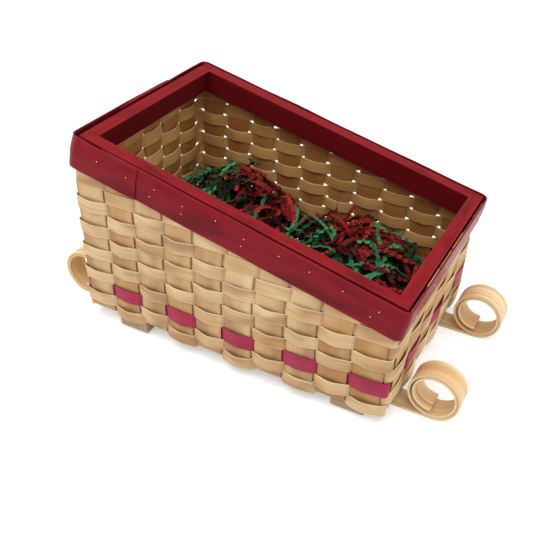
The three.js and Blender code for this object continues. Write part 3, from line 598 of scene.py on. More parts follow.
def grained_wood(name, tones, streak, edge_colour, inner, grain, broad, cover, gloss, bump):
    """Wood whose fibres follow the piece.

    tones are the main, second and patch colours. streak is the late wood, edge_colour colours the edges and
    inner the back face, and they lie over one another in the order patch, back, streak and edge. On the splints
    and battens the back face's colour is painted shade, and on the weavers, and in part on the rim, the edge
    colour is a painted highlight. grain is the fibre width and broad the length of a patch, in metres. cover
    gives the shares of patch, streak, edge and inner face. gloss is the lowest and highest roughness and the
    specular level, and bump the fibre relief.
    """
    finish = bare_material(name)
    tree = finish.node_tree
    late_inner = [LATE_SHADE * value for value in inner]
    place, tone, edge, back = (
        add_node(tree, "ShaderNodeAttribute", attribute_name=label)
        for label in ("grain", "tone", "edge", "inner")
    )
    fibre_scale = (1 / (FIBRE_LENGTH * grain), 1 / grain, 1 / grain)
    fibre_place = add_node(
        tree, "ShaderNodeVectorMath", {0: place.outputs["Vector"], 1: fibre_scale}, operation="MULTIPLY"
    )
    fibre = add_node(
        tree,
        "ShaderNodeTexNoise",
        {"Vector": fibre_place.outputs[0], "Scale": 1.0, "Detail": 4.0, "Roughness": 0.6},
    )
    patch_scale = (1 / broad, PATCH_LENGTH / broad, PATCH_LENGTH / broad)
    patch_place = add_node(
        tree, "ShaderNodeVectorMath", {0: place.outputs["Vector"], 1: patch_scale}, operation="MULTIPLY"
    )
    patch = add_node(
        tree, "ShaderNodeTexNoise", {"Vector": patch_place.outputs[0], "Scale": 1.0, "Detail": 2.0}
    )
    drift = add_node(
        tree,
        "ShaderNodeMapRange",
        {"Value": patch.outputs[0], "From Min": 0.3, "From Max": 0.7, "To Min": -0.4, "To Max": 0.4},
    )
    blend_tone = add_node(
        tree,
        "ShaderNodeMath",
        {0: drift.outputs[0], 1: tone.outputs["Fac"]},
        operation="ADD",
        use_clamp=True,
    )
    patch_cover = add_node(
        tree,
        "ShaderNodeMapRange",
        {"Value": patch.outputs[0], "From Min": 0.52, "From Max": 0.66, "To Max": cover[0]},
    )
    streak_cover = add_node(
        tree,
        "ShaderNodeMapRange",
        {"Value": fibre.outputs[0], "From Min": 0.42, "From Max": 0.75, "To Max": cover[1]},
    )
    edge_cover = add_node(
        tree, "ShaderNodeMath", {0: edge.outputs["Fac"], 1: cover[2]}, operation="MULTIPLY"
    )
    back_cover = add_node(
        tree, "ShaderNodeMath", {0: back.outputs["Fac"], 1: cover[3]}, operation="MULTIPLY"
    )
    late = add_node(
        tree,
        "ShaderNodeMix",
        {MIX_SHARE: back_cover.outputs[0], MIX_FIRST: opaque(streak), MIX_SECOND: opaque(late_inner)},
        data_type="RGBA",
    )
    # The back face layer paints shade on splints and battens; the edge layer paints a highlight on weavers and
    # partly on the rim
    shade = opaque(tones[0])
    for share, layer in (
        (blend_tone, opaque(tones[1])),
        (patch_cover, opaque(tones[2])),
        (back_cover, opaque(inner)),
        (streak_cover, late.outputs[MIXED]),
        (edge_cover, opaque(edge_colour)),
    ):
        mixed = add_node(
            tree,
            "ShaderNodeMix",
            {MIX_SHARE: share.outputs[0], MIX_FIRST: shade, MIX_SECOND: layer},
            data_type="RGBA",
        )
        shade = mixed.outputs[MIXED]
    rough = add_node(
        tree, "ShaderNodeMapRange", {"Value": fibre.outputs[0], "To Min": gloss[0], "To Max": gloss[1]}
    )
    relief = add_node(
        tree, "ShaderNodeBump", {"Height": fibre.outputs[0], "Strength": 0.6, "Distance": bump}
    )
    surface = add_node(
        tree,
        "ShaderNodeBsdfPrincipled",
        {
            "Base Color": shade,
            "Roughness": rough.outputs[0],
            "Normal": relief.outputs[0],
            "Specular IOR Level": gloss[2],
            "IOR": 1.45,
        },
    )
    add_node(tree, "ShaderNodeOutputMaterial", {"Surface": surface.outputs[0]})
    return finish


def weaver_splint(weave):
    """Thin sliced ash splint, left bare: pale straw to honey from place to place, with dull pink patches, a
    painted highlight along its edges and painted warm shade on its inner face.

    The fibres are drawn 0.8 mm wide, coarser than the real ones, so that they still show.
    """
    return grained_wood(
        "ash_splint_thin_sliced_bare",
        tones=(weave.cream, weave.honey, weave.heartwood),
        streak=weave.streak,
        # A painted highlight along the edges
        edge_colour=weave.edge_highlight,
        # Painted warm shade on the inner face
        inner=weave.weaver_inner_shade,
        grain=0.8 * MM,
        broad=60 * MM,
        cover=(0.8, 0.5, 0.45, 0.8),
        gloss=(0.45, 0.7, 0.2),
        bump=0.12 * MM,
    )


def stake_splint(weave):
    """Thicker sliced ash splint, left bare: the same tones with more open grain, and browner on the
    inside with painted warm shade.
    """
    return grained_wood(
        "ash_splint_thick_sliced_bare",
        tones=(weave.cream, weave.honey, weave.heartwood),
        streak=weave.streak,
        edge_colour=weave.streak,
        # Painted warm shade on the inner face
        inner=weave.stake_inner_shade,
        grain=0.9 * MM,
        broad=80 * MM,
        cover=(0.6, 0.22, 0.35, 0.8),
        gloss=(0.5, 0.75, 0.2),
        bump=0.15 * MM,
    )


def dyed_splint(weave):
    """Sliced ash splint, dyed through: raspberry with a little darker grain and a soft sheen."""
    return grained_wood(
        "ash_splint_dyed_raspberry",
        tones=(weave.raspberry, weave.raspberry, weave.raspberry_dark),
        streak=weave.raspberry_dark,
        edge_colour=weave.raspberry_dark,
        inner=weave.raspberry_dark,
        grain=0.8 * MM,
        broad=60 * MM,
        cover=(0.4, 0.5, 0.3, 0.3),
        gloss=(0.4, 0.6, 0.25),
        bump=0.1 * MM,
    )


def stained_batten(rim):
    """Planed pine, stained: bright red, darker in the grain, and rubbed pale along the edges.

    The faces round the opening are darkened with painted shade, and the pale edges are in part a painted
    highlight.
    """
    return grained_wood(
        "pine_planed_stained_red",
        tones=(rim.batten_red, rim.batten_red, rim.batten_dark),
        streak=rim.batten_dark,
        edge_colour=rim.worn_edge_and_highlight,
        # Painted shade on the faces round the opening
        inner=rim.batten_inside_shade,
        grain=0.9 * MM,
        broad=40 * MM,
        cover=(0.8, 0.9, 0.3, 0.75),
        gloss=(0.45, 0.65, 0.1),
        bump=0.12 * MM,
    )


def stained_band(rim):
    """Sliced veneer, steam bent and stained: maroon with fine long grain and a low sheen."""
    return grained_wood(
        "veneer_bent_stained_maroon",
        tones=(rim.band_maroon, rim.band_maroon, rim.band_dark),
        streak=rim.band_dark,
        # Edges rubbed pale, partly a painted highlight
        edge_colour=rim.worn_edge_and_highlight,
        inner=rim.band_dark,
        grain=0.9 * MM,
        broad=60 * MM,
        cover=(0.8, 0.8, 0.25, 0.2),
        gloss=(0.28, 0.42, 0.12),
        bump=0.1 * MM,
    )


def bent_veneer(sledge):
    """Sliced ash, steam bent: pale honey with broad warm bands along the strip and pale edges."""
    return grained_wood(
        "ash_veneer_steam_bent",
        tones=(sledge.runner_pale, sledge.runner_pale, sledge.runner_honey),
        streak=sledge.runner_honey,
        edge_colour=sledge.runner_pale,
        inner=sledge.runner_honey,
        grain=2.2 * MM,
        broad=120 * MM,
        cover=(0.6, 1.0, 0.5, 0.0),
        gloss=(0.4, 0.6, 0.25),
        bump=0.1 * MM,
    )


def sawn_bar(sledge):
    """Rough sawn softwood: grey brown, with coarse dark grain and no sheen."""
    return grained_wood(
        "softwood_rough_sawn",
        tones=(sledge.bar_brown, sledge.bar_brown, sledge.bar_dark),
        streak=sledge.bar_dark,
        edge_colour=sledge.bar_dark,
        inner=sledge.bar_brown,
        grain=1.2 * MM,
        broad=40 * MM,
        cover=(0.5, 0.7, 0.2, 0.0),
        gloss=(0.7, 0.9, 0.15),
        bump=0.25 * MM,
    )


def galvanised_wire(rim):
    """Drawn steel wire, galvanised: dull silver with cloudy patches in its gloss."""
    finish = bare_material("steel_wire_galvanised")
    tree = finish.node_tree
    place = add_node(tree, "ShaderNodeTexCoord")
    cloud = add_node(
        tree,
        "ShaderNodeTexNoise",
        {"Vector": place.outputs["Object"], "Scale": 1 / (0.8 * MM), "Detail": 2.0},
    )
    rough = add_node(
        tree, "ShaderNodeMapRange", {"Value": cloud.outputs[0], "To Min": 0.25, "To Max": 0.55}
    )
    surface = add_node(
        tree,
        "ShaderNodeBsdfPrincipled",
        {"Base Color": opaque(rim.wire), "Metallic": 1.0, "Roughness": rough.outputs[0]},
    )
    add_node(tree, "ShaderNodeOutputMaterial", {"Surface": surface.outputs[0]})
    return finish


def dyed_paper(name, bright, dark):
    """Kraft tissue, dyed and crimped: matt, brighter or duller from strip to strip, mottled along each.

    The darker colour is painted shade, which the deep strips get most of.
    """
    finish = bare_material(name)
    tree = finish.node_tree
    place = add_node(tree, "ShaderNodeAttribute", attribute_name="grain")
    tone = add_node(tree, "ShaderNodeAttribute", attribute_name="tone")
    mottle = add_node(
        tree,
        "ShaderNodeTexNoise",
        {"Vector": place.outputs["Vector"], "Scale": 1 / (3 * MM), "Detail": 2.0},
    )
    # Mottle times the strip's tone, which carries the painted shade
    tone_and_shade = add_node(
        tree, "ShaderNodeMath", {0: mottle.outputs[0], 1: tone.outputs["Fac"]}, operation="MULTIPLY"
    )
    share = add_node(
        tree, "ShaderNodeMapRange", {"Value": tone_and_shade.outputs[0], "From Min": 0.05, "From Max": 0.5}
    )
    shade = add_node(
        tree,
        "ShaderNodeMix",
        {MIX_SHARE: share.outputs[0], MIX_FIRST: opaque(dark), MIX_SECOND: opaque(bright)},
        data_type="RGBA",
    )
    relief = add_node(
        tree, "ShaderNodeBump", {"Height": mottle.outputs[0], "Strength": 0.4, "Distance": 0.1 * MM}
    )
    surface = add_node(
        tree,
        "ShaderNodeBsdfPrincipled",
        {
            "Base Color": shade.outputs[MIXED],
            "Roughness": 0.6,
            "Normal": relief.outputs[0],
            "Specular IOR Level": 0.12,
        },
    )
    add_node(tree, "ShaderNodeOutputMaterial", {"Surface": surface.outputs[0]})
    return finish


# Stakes


# Points along a stake, and the places across its face, as shares of its width, that get points of their own
CROSS_POINTS = 320
LONG_POINTS = 420
STAKE_FACE = np.linspace(-0.42, 0.42, 6)
STAKE_EASE = 0.2 * MM
# How far the stakes' uneven ends lie below the rim's top, in millimetres
CROSS_INSET = (8, 11)
BACK_INSET = (6, 9)
FRONT_INSET = (0.2, 5)
# Share of its width that a stake has at its first and its last end, and the range of its tone
CROSS_TAPER = (0.99, 0.88)
LONG_TAPER = (0.92, 0.99)
STAKE_TONE = (0.3, 1.0)
# Distances in which the sway fades under the rim and over the base, and the base's wave fades at its ends
RIM_FADE = 12 * MM
BASE_FADE = 10 * MM
WAVE_FADE = 4 * MM
# How steeply a long stake changes from above to below the cross stakes
WAVE_STEEPNESS = 4


def trough(tops, near, far, points, weave):
    """A walk down one wall, round a bend, across the base, round a bend and up the other wall.

    Returns the distances walked, those at which the stretches start and end, the turn of the walk, and its
    place and height, both of them without the bends.
    """
    low = weave.base_z + weave.stake_bend
    bend = weave.stake_bend * QUARTER
    marks = np.cumsum([0, tops[0] - low, bend, far - near, bend, tops[1] - low])
    t = np.linspace(0, marks[-1], points)
    turn = np.interp(t, marks, np.array([0, 0, 1, 1, 2, 2]) * QUARTER)
    place = np.interp(t, marks, [near, near, near, far, far, far])
    z = np.interp(t, marks, [tops[0], low, low, low, low, tops[1]])
    return t, marks, turn, place, z


def sway(y, z, number, band_foot, weave):
    """How far the weavers push a stake in and out: a cosine of row and number, faded at both ends."""
    low = weave.base_z + weave.stake_bend
    under_rim = smooth(band_foot - z, 0, RIM_FADE)
    off_base = smooth(z, low, low + BASE_FADE)
    return weave.stake_sway * np.cos(np.pi * (row_at(y, z, weave) + number)) * under_rim * off_base


def cross_path(stake, width, inset, weave, rim):
    """Down the right wall, across the base and up the left wall, swaying with the rows."""
    reach = weave.wall_y - weave.stake_bend
    top_x = cross_x(stake, weave.back_turn_z, weave, rim) + width / 2
    top = rim_height(top_x, inset, rim)
    _, _, turn, core_y, z = trough((top, top), -reach, reach, CROSS_POINTS, weave)
    number = np.where(core_y < 0, stake, 2 * weave.cross_stakes + weave.long_stakes + 1 - stake)
    band_foot = rim_height(top_x, rim.band_drop + rim.band_height, rim)
    radius = weave.stake_bend + sway(core_y, z, number, band_foot, weave)
    return joined(
        cross_x(stake, z, weave, rim),
        core_y - radius * np.cos(turn) + weave.centre_y,
        z - radius * np.sin(turn),
    )


def long_path(stake, back_inset, front_inset, weave, rim):
    """Down the back wall, under the base in a wave over and under the cross stakes, and up the front wall.

    The wave is the base offset times the hyperbolic tangent of a steep cosine of the cross stakes' number.
    """
    along = (rim.opening_length + 2 * rim.batten_thickness + rim.gap) / 2
    back_top = rim.centre_height + along * math.sin(rim.slope) - back_inset * math.cos(rim.slope)
    front_top = rim.centre_height - along * math.sin(rim.slope) - front_inset * math.cos(rim.slope)
    low = weave.base_z + weave.stake_bend
    near = back_wall(low, weave, rim) + weave.stake_bend
    far = front_wall(low, weave, rim) - weave.stake_bend
    t, marks, turn, x, z = trough((back_top, front_top), near, far, LONG_POINTS, weave)
    on_back = t < marks[1]
    on_front = t > marks[4]
    x = np.where(on_back, back_wall(z, weave, rim) + weave.stake_bend, x)
    x = np.where(on_front, front_wall(z, weave, rim) - weave.stake_bend, x)
    cross = (x - weave.back_foot_x - weave.side_margin) / cross_pitch(weave) + 0.5
    wave = weave.base_offset * np.tanh(WAVE_STEEPNESS * np.cos(np.pi * (cross + stake)))
    from_back = smooth(t, marks[1], marks[2] + WAVE_FADE)
    to_front = 1 - smooth(t, marks[3] - WAVE_FADE, marks[4])
    front_number = weave.cross_stakes + stake
    back_number = 2 * (weave.cross_stakes + weave.long_stakes) + 1 - stake
    number = np.where(on_back, back_number, front_number)
    band_foot = np.where(on_back, back_top, front_top) - rim.band_height
    y = long_y(stake, weave)
    radius = weave.stake_bend + sway(y, z, number, band_foot, weave) - wave * (from_back * to_front)
    return joined(x - radius * np.cos(turn), y + weave.centre_y, z - radius * np.sin(turn))


def place_stake(node, path, across, width, taper, finish, weave, rim, rng):
    """A cupped splint of uneven width along a path."""
    ring = section(width, weave.stake_thickness, STAKE_EASE, STAKE_FACE * width)
    along = travelled(path)
    ring_across = ring[0] * uneven_width(along, *taper, rng)
    rings = sweep(path, across, ring_across, ring[1] + crowned(ring, width, weave.stake_cup))
    along = along + rng.uniform(0, GRAIN_RANGE)
    tone = rng.uniform(*STAKE_TONE)
    place_strip("splint", node, bellied(rings, weave, rim), along, ring, tone, finish)


class HAMPER_OT_cross_stakes(bpy.types.Operator):
    """Flat splints that run down one side, under the base and up the other side"""

    bl_idname = "hamper.cross_stakes"
    bl_label = "Cross stakes"

    def execute(self, context):
        weave = context.scene.hamper_weave
        rim = context.scene.hamper_rim
        finish = stake_splint(weave)
        rng = np.random.default_rng(11)
        width = cross_pitch(weave) - weave.stake_gap
        for stake in range(1, weave.cross_stakes + 1):
            path = cross_path(stake, width, rng.uniform(*CROSS_INSET) * MM, weave, rim)
            node = f"cross_stake_{stake:02d}"
            place_stake(node, path, (1, 0, 0), width, CROSS_TAPER, finish, weave, rim, rng)
        return {"FINISHED"}


class HAMPER_OT_long_stakes(bpy.types.Operator):
    """Flat splints that run down the back, over and under the cross stakes, and up the front"""

    bl_idname = "hamper.long_stakes"
    bl_label = "Long stakes"

    def execute(self, context):
        weave = context.scene.hamper_weave
        rim = context.scene.hamper_rim
        finish = stake_splint(weave)
        rng = np.random.default_rng(12)
        width = long_pitch(weave) - weave.stake_gap
        for stake in range(1, weave.long_stakes + 1):
            back_inset = rng.uniform(*BACK_INSET) * MM
            front_inset = rng.uniform(*FRONT_INSET) * MM
            path = long_path(stake, back_inset, front_inset, weave, rim)
            node = f"long_stake_{stake:02d}"
            place_stake(node, path, (0, -1, 0), width, LONG_TAPER, finish, weave, rim, rng)
        return {"FINISHED"}


# Weavers


# Points along a full round, and how far each of its ends stops short of the stake's middle
ROUND_POINTS = 860
ROUND_GAP = 0.5 * MM
# Places across the face, as shares of the width, that get points of their own
WEAVER_FACE = np.linspace(-0.4, 0.4, 4)
WEAVER_EASE = 0.15 * MM
# Share of its stand-off that a weaver keeps under the band, and the depths in which it gets the rest
CLAMPED = 0.08
CLAMP_FADE = (-1 * MM, 9 * MM)
# How steeply a weaver changes sides between two stakes, and between those that a corner holds further apart
PASS_STEEPNESS = 8
CORNER_STEEPNESS = 3
# Spacing of two stakes, in the side's, from which they count as held apart by a corner
CORNER_STRETCH = 1.15
# How much broader a weaver is at a corner, narrower on the left and flatter on the front
CORNER_BROADER = 0.1
LEFT_NARROWER = 0.06
FRONT_FLATTER = 0.5
# Draws for each pass: ranges of the bulge as a share and of the height in millimetres
BULGE_RANGE = (0.65, 1.3)
HEIGHT_RANGE = (-0.35, 0.35)
# Mean and spread of the tilt, and the two powers of the tone's beta curve
TILT_SPREAD = (0.03, 0.05)
TONE_SPREAD = (0.8, 1.4)
# The lowest row hangs by this share of the drop, and only where it passes outside the stakes
LOW_ROW_DROP = 0.7
LOW_ROW_FADE = (-0.8, 0.2)


def stake_places(middle, low, high, marks, weave, rim):
    """Distances round the wall, at a height, at which it passes the middles of the stakes."""
    radius = weave.corner
    side_x = cross_x(np.arange(1, weave.cross_stakes + 1), middle, weave, rim)
    end_y = long_y(np.arange(1, weave.long_stakes + 1), weave)
    end_run = weave.wall_y - radius
    right = side_x - low - radius
    front = marks[2] + end_y + end_run
    left = marks[4] + high - radius - side_x[::-1]
    back = marks[6] + end_run - end_y[::-1]
    return np.concatenate([right, front, left, back])


def weaver_span(row, reach, middle, low, high, marks, centres, weave, rim):
    """Distances round the wall that a row covers.

    A row that reaches the front is a full round that starts at a stake on the left. A shorter one runs round
    the back, from the left side to the right, and ends where the rim covers it.
    """
    if reach > high:
        start = centres[weave.cross_stakes + weave.long_stakes + 2 + row % 3]
        return np.linspace(start + ROUND_GAP, start + marks[-1] - ROUND_GAP, ROUND_POINTS)
    room = rim_height(rim.centre_x, weave.end_cover, rim) - middle - weave.weaver_width / 2
    reach = min(reach, rim.centre_x + room / math.tan(rim.slope))
    start = marks[4] + high - weave.corner - reach
    end = marks[-1] + reach - low - weave.corner
    return np.linspace(start, end, int((end - start) / MM))


def rake(wall, z, weave, rim):
    """Slope of an end wall at a height, from a millimetre below to a millimetre above."""
    return (wall(z + MM, weave, rim) - wall(z - MM, weave, rim)) / (2 * MM)


def weaver_path(row, reach, weave, rim, rng):
    """Round the wall's plan, standing off it by turns outwards and inwards.

    The side is the sign of the pass, brought over between two stakes by a hyperbolic tangent. The stand-off
    is the side times a lift and a bulge, which follows the squared cosine of the place between stakes. At
    the corners, by the product of the outward direction's parts, a weaver stands out and is broader, so that
    the rows close up. Returns the path, the direction across the weaver, the side, the tone and the share of
    the width.
    """
    middle = weave.first_row + (row - 1) * weave.row_pitch + weave.weaver_width / 2
    low = back_wall(middle, weave, rim)
    high = front_wall(middle, weave, rim)
    marks = plan_marks(low, high, weave.wall_y, weave.corner)
    centres = stake_places(middle, low, high, marks, weave, rim)
    t = weaver_span(row, reach, middle, low, high, marks, centres, weave, rim)
    round_trip = marks[-1]
    stakes = len(centres)
    numbers = np.arange(1, stakes + 1)
    laps = np.array([-1, 0, 1, 2])[:, None]
    number = np.interp(t, (centres + laps * round_trip).ravel(), (numbers + laps * stakes).ravel())
    nearest = np.rint(number)
    place, out = plan_walk(np.mod(t, round_trip), low, high, weave.wall_y, weave.corner)
    toward_front = np.maximum(0, out[:, 0])
    pass_over = np.cos(np.pi * (number - nearest))
    sign = np.where(np.mod(nearest + row, 2) == 1, 1.0, -1.0)
    band_foot = rim_height(place[:, 0], rim.band_drop + rim.band_height, rim)
    free = CLAMPED + (1 - CLAMPED) * smooth(band_foot - middle - weave.weaver_width / 2, *CLAMP_FADE)
    which = np.mod(nearest.astype(int) - 1, stakes)
    bulge = weave.weaver_bulge * rng.uniform(*BULGE_RANGE, stakes)[which] * free
    bulge = bulge * (1 - FRONT_FLATTER * toward_front)
    at_corner = np.gradient(t) > CORNER_STRETCH * cross_pitch(weave) * np.gradient(number)
    side = sign * np.tanh(np.where(at_corner, CORNER_STEEPNESS, PASS_STEEPNESS) * pass_over)
    corner = 2 * np.prod(np.abs(out[:, :2]), axis=1) * free
    stand_off = side * (weave.weaver_lift + bulge * pass_over**2) + weave.corner_push * corner
    passes = np.arange(-stakes, 3 * stakes)
    drift = np.interp(number, passes, np.tile(rng.uniform(*HEIGHT_RANGE, stakes), 4)) * MM
    tilt = np.interp(number, passes, np.tile(rng.normal(*TILT_SPREAD, stakes), 4))
    tone = np.interp(number, passes, np.tile(rng.beta(*TONE_SPREAD, stakes), 4))
    drop = row_drop(place[:, 1], weave)
    if row == 1:
        drop = LOW_ROW_DROP * drop * smooth(sign * pass_over, *LOW_ROW_FADE)
    path = place + out * stand_off[:, None] + joined(0.0, weave.centre_y, middle + drift - drop)
    back_lean = np.maximum(0, -out[:, 0]) * rake(back_wall, middle, weave, rim)
    lean = back_lean + toward_front * rake(front_wall, middle, weave, rim)
    across = unit(joined(lean, 0.0, 1.0) + out * (tilt * free)[:, None])
    broad = 1 + CORNER_BROADER * corner - LEFT_NARROWER * np.maximum(0, out[:, 1])
    return path, across, side, tone, broad


class HAMPER_OT_weavers(bpy.types.Operator):
    """Narrow splints woven round the stakes, one in each row, the third of them dyed"""

    bl_idname = "hamper.weavers"
    bl_label = "Weavers"

    def execute(self, context):
        weave = context.scene.hamper_weave
        rim = context.scene.hamper_rim
        bare = weaver_splint(weave), "natural_splint", weave.weaver_width
        dyed = dyed_splint(weave), "red_splint", weave.red_width
        rng = np.random.default_rng(13)
        for row, (_, high) in enumerate(ROW_BOXES, start=1):
            finish, slot, width = dyed if row == weave.red_row else bare
            path, across, side, tone, broad = weaver_path(row, high.x, weave, rim, rng)
            ring = section(width, weave.weaver_thickness, WEAVER_EASE, WEAVER_FACE * width)
            arch = side[:, None] * crowned(ring, width, weave.weaver_cup)
            rings = sweep(path, across, ring[0] * broad[:, None], ring[1] + arch)
            rings = bellied(rings, weave, rim)
            along = travelled(path) + rng.uniform(0, GRAIN_RANGE)
            place_strip("splint", f"weaver_row_{row:02d}", rings, along, ring, tone, finish)
        return {"FINISHED"}


# Rim


# How far from the battens' edges their faces get points, and how near to a face a point counts as on it
BATTEN_SUPPORT = 0.5 * MM
FACE_DEPTH = 0.1 * MM
# Share of painted shade on the back batten's inner face, and on the others'
BACK_INSIDE_SHADE = 1.3
EVEN_INSIDE_SHADE = 1.0
# Bands: distance between rings, eased edge, and how far from the edges the faces get points
BAND_STEP = 1.2 * MM
BAND_EASE = 0.35 * MM
BAND_SUPPORT = 0.8 * MM
# Sines by which the bands are uneven: lengths in millimetres, and swing in and out and up and down
BAND_WAVES = (61, 97, 143)
SWING_OUT = 0.06 * MM
SWING_UP = 0.12 * MM
# Ends of the bands: lengths that are shaved and sheared, and the share of the thickness left at the tip
SHAVED_LENGTH = 14 * MM
SHEARED_LENGTH = 20 * MM
TIP_THICKNESS = 0.35
# Upper edge of the bands: depth that is pressed in, and the front's press
PRESSED_DEPTH = 9 * MM
FRONT_PRESS = 1.1 * MM
# Share by which the side is pressed less, and the places along the sleigh between which it becomes so
PRESS_LESS = 0.45
PRESS_FADE = (-60 * MM, 60 * MM)
# Where the short band starts to rise over the long one's start, as a share of the way there
LAP_RISE = 0.4
# Staples, in millimetres: depth and set-back of the two rows, scatter, and room at the corners
STAPLE_ROWS = ((8.5, 1.5), (17.5, -2))
SCATTER_ALONG = 2
SCATTER_DOWN = 1.5
STAPLE_MARGIN = 7
# Depth between the two rows, in millimetres, and the share of the lower row that is there
BETWEEN_ROWS = 13
LOWER_SHARE = 0.25
# Tips: tilts of the rings in radians, points round one, and height as a share of the radius
DOME_TILTS = (-0.35, 0.1, 0.65, 1.2)
DOME_POINTS = 8
DOME_HEIGHT = 0.7


def rim_halves(rim):
    """Half the length and half the width of the frame of battens."""
    return rim.opening_length / 2 + rim.batten_thickness, rim.opening_width / 2 + rim.batten_thickness


class HAMPER_OT_battens(bpy.types.Operator):
    """Four stained battens that frame the opening"""

    bl_idname = "hamper.battens"
    bl_label = "Rim battens"

    def execute(self, context):
        rim = context.scene.hamper_rim
        weave = context.scene.hamper_weave
        finish = stained_batten(rim)
        rng = np.random.default_rng(14)
        thick = rim.batten_thickness
        middle = -rim.batten_height / 2
        for side, sign in SIDES.items():
            batten = self.batten(rim.opening_length + 2 * thick, rim)
            shift = (0, sign * (rim.opening_width + thick) / 2, middle)
            rings = to_rim(batten[0] + shift, rim, weave)
            self.place(f"rim_batten_{side}", rings, batten, -sign, EVEN_INSIDE_SHADE, rng, finish, rim)
        for end, sign in ENDS.items():
            batten = self.batten(rim.opening_width - 2 * rim.seam, rim)
            shift = (sign * (rim.opening_length + thick) / 2, 0, middle)
            rings = to_rim(turned(batten[0]) + shift, rim, weave)
            # The back batten's inner face gets more painted shade
            inside_shade = BACK_INSIDE_SHADE if end == "back" else EVEN_INSIDE_SHADE
            self.place(f"rim_batten_{end}", rings, batten, sign, inside_shade, rng, finish, rim)
        return {"FINISHED"}

    @staticmethod
    def batten(length, rim):
        """A stick of the battens' section."""
        return stick(length, rim.batten_thickness, rim.batten_height, rim.batten_ease, BATTEN_SUPPORT)

    @staticmethod
    def place(node, rings, batten, inward, inside_shade, rng, finish, rim):
        """Places a batten.

        inward is the sign of the section's inner side, and inside_shade how much painted shade its inner face
        gets.
        """
        _, along, ring = batten
        along = along + rng.uniform(0, GRAIN_RANGE)
        tone = rng.uniform(0, 1)
        # Painted shade on the inner face, by its share
        inner = inside_shade * (ring[0] * inward > rim.batten_thickness / 2 - FACE_DEPTH)
        place_strip("stained", node, rings, along, ring, tone, finish, inner)


class HAMPER_OT_bands(bpy.types.Operator):
    """Thin stained strips bent round the outside of the rim, one lapped over the ends of the other"""

    bl_idname = "hamper.bands"
    bl_label = "Rim bands"

    def execute(self, context):
        rim = context.scene.hamper_rim
        half_length, half_width = rim_halves(rim)
        finish = stained_band(rim)
        reach = rim.gap + rim.band_thickness / 2
        radius = rim.band_corner + rim.band_thickness / 2
        run = half_length + reach - radius
        marks = plan_marks(-half_length - reach, half_length + reach, half_width + reach, radius)
        start = rim.long_start - half_length + run
        end = marks[6] + half_width + reach - radius + half_width - rim.long_end
        self.place(context, "rim_band_long", reach, radius, (start, end), 0.0, 21, finish)
        lap = rim.band_thickness + rim.seam
        reach += lap
        radius += lap
        marks = plan_marks(-half_length - reach, half_length + reach, half_width + reach, radius)
        start = marks[6] + half_width + reach - radius + half_width - rim.short_back
        end = marks[-1] + rim.short_side - half_length + run
        self.place(context, "rim_band_short", reach, radius, (start, end), rim.short_slant, 22, finish)
        return {"FINISHED"}

    @staticmethod
    def place(context, node, reach, radius, span, slant, seed, finish):
        """A strip round a rounded rectangle in the rim's plane, a little uneven in and out and up and down.

        Its last end is sheared along the strip, so that the lower corner reaches further by slant. Both ends
        are shaved down by a smooth step, from the outside. Along the right side the upper edge is pressed in
        to the batten, less towards the front, and by a lap more where no other strip lies under it. Across
        the front it is pressed in to the splints.
        """
        rim = context.scene.hamper_rim
        weave = context.scene.hamper_weave
        half_length, half_width = (half + reach for half in rim_halves(rim))
        rng = np.random.default_rng(seed)
        t = np.linspace(*span, int((span[1] - span[0]) / BAND_STEP))
        round_trip = plan_marks(-half_length, half_length, half_width, radius)[-1]
        place, out = plan_walk(np.mod(t, round_trip), -half_length, half_length, half_width, radius)
        waves = 2 * np.pi * t[:, None] / (np.array(BAND_WAVES) * MM) + rng.uniform(0, 6, len(BAND_WAVES))
        uneven = np.sin(waves).sum(axis=1)
        up = -rim.band_drop - rim.band_height / 2 + SWING_UP * np.cos(waves).sum(axis=1)
        path = place + out * (SWING_OUT * uneven)[:, None] + joined(0.0, 0.0, up)
        top = rim.band_height / 2
        wide = top - BAND_SUPPORT
        ring = section(rim.band_height, rim.band_thickness, BAND_EASE, np.linspace(-wide, wide, 6), (0.0,))
        half = rim.band_thickness / 2
        from_end = np.minimum(t - span[0], span[1] - t)
        shaved = TIP_THICKNESS + (1 - TIP_THICKNESS) * smooth(from_end, 0, SHAVED_LENGTH)
        lap = reach - rim.gap - half
        alone = 1 - smooth(place[:, 0] + half_length, LAP_RISE * rim.long_start, rim.long_start)
        pressed = rim.band_press * (1 - PRESS_LESS * smooth(place[:, 0], *PRESS_FADE)) + lap * alone
        pressed = pressed * np.maximum(0, -out[:, 1]) + FRONT_PRESS * np.maximum(0, out[:, 0])
        inward = half + pressed[:, None] * smooth(ring[0], top - PRESSED_DEPTH, top)
        rings = sweep(path, UP, ring[0], (ring[1] + half) * shaved[:, None] - inward)
        sheared = slant * smooth(t, span[1] - SHEARED_LENGTH, span[1])[:, None]
        further = sheared * (0.5 - ring[0] / rim.band_height)
        rings = rings + unit(np.gradient(path, axis=0))[:, None, :] * further[..., None]
        rings = to_rim(rings, rim, weave)
        tone = rng.uniform(0, 1)
        place_strip("stained", node, rings, travelled(path), ring, tone, finish)


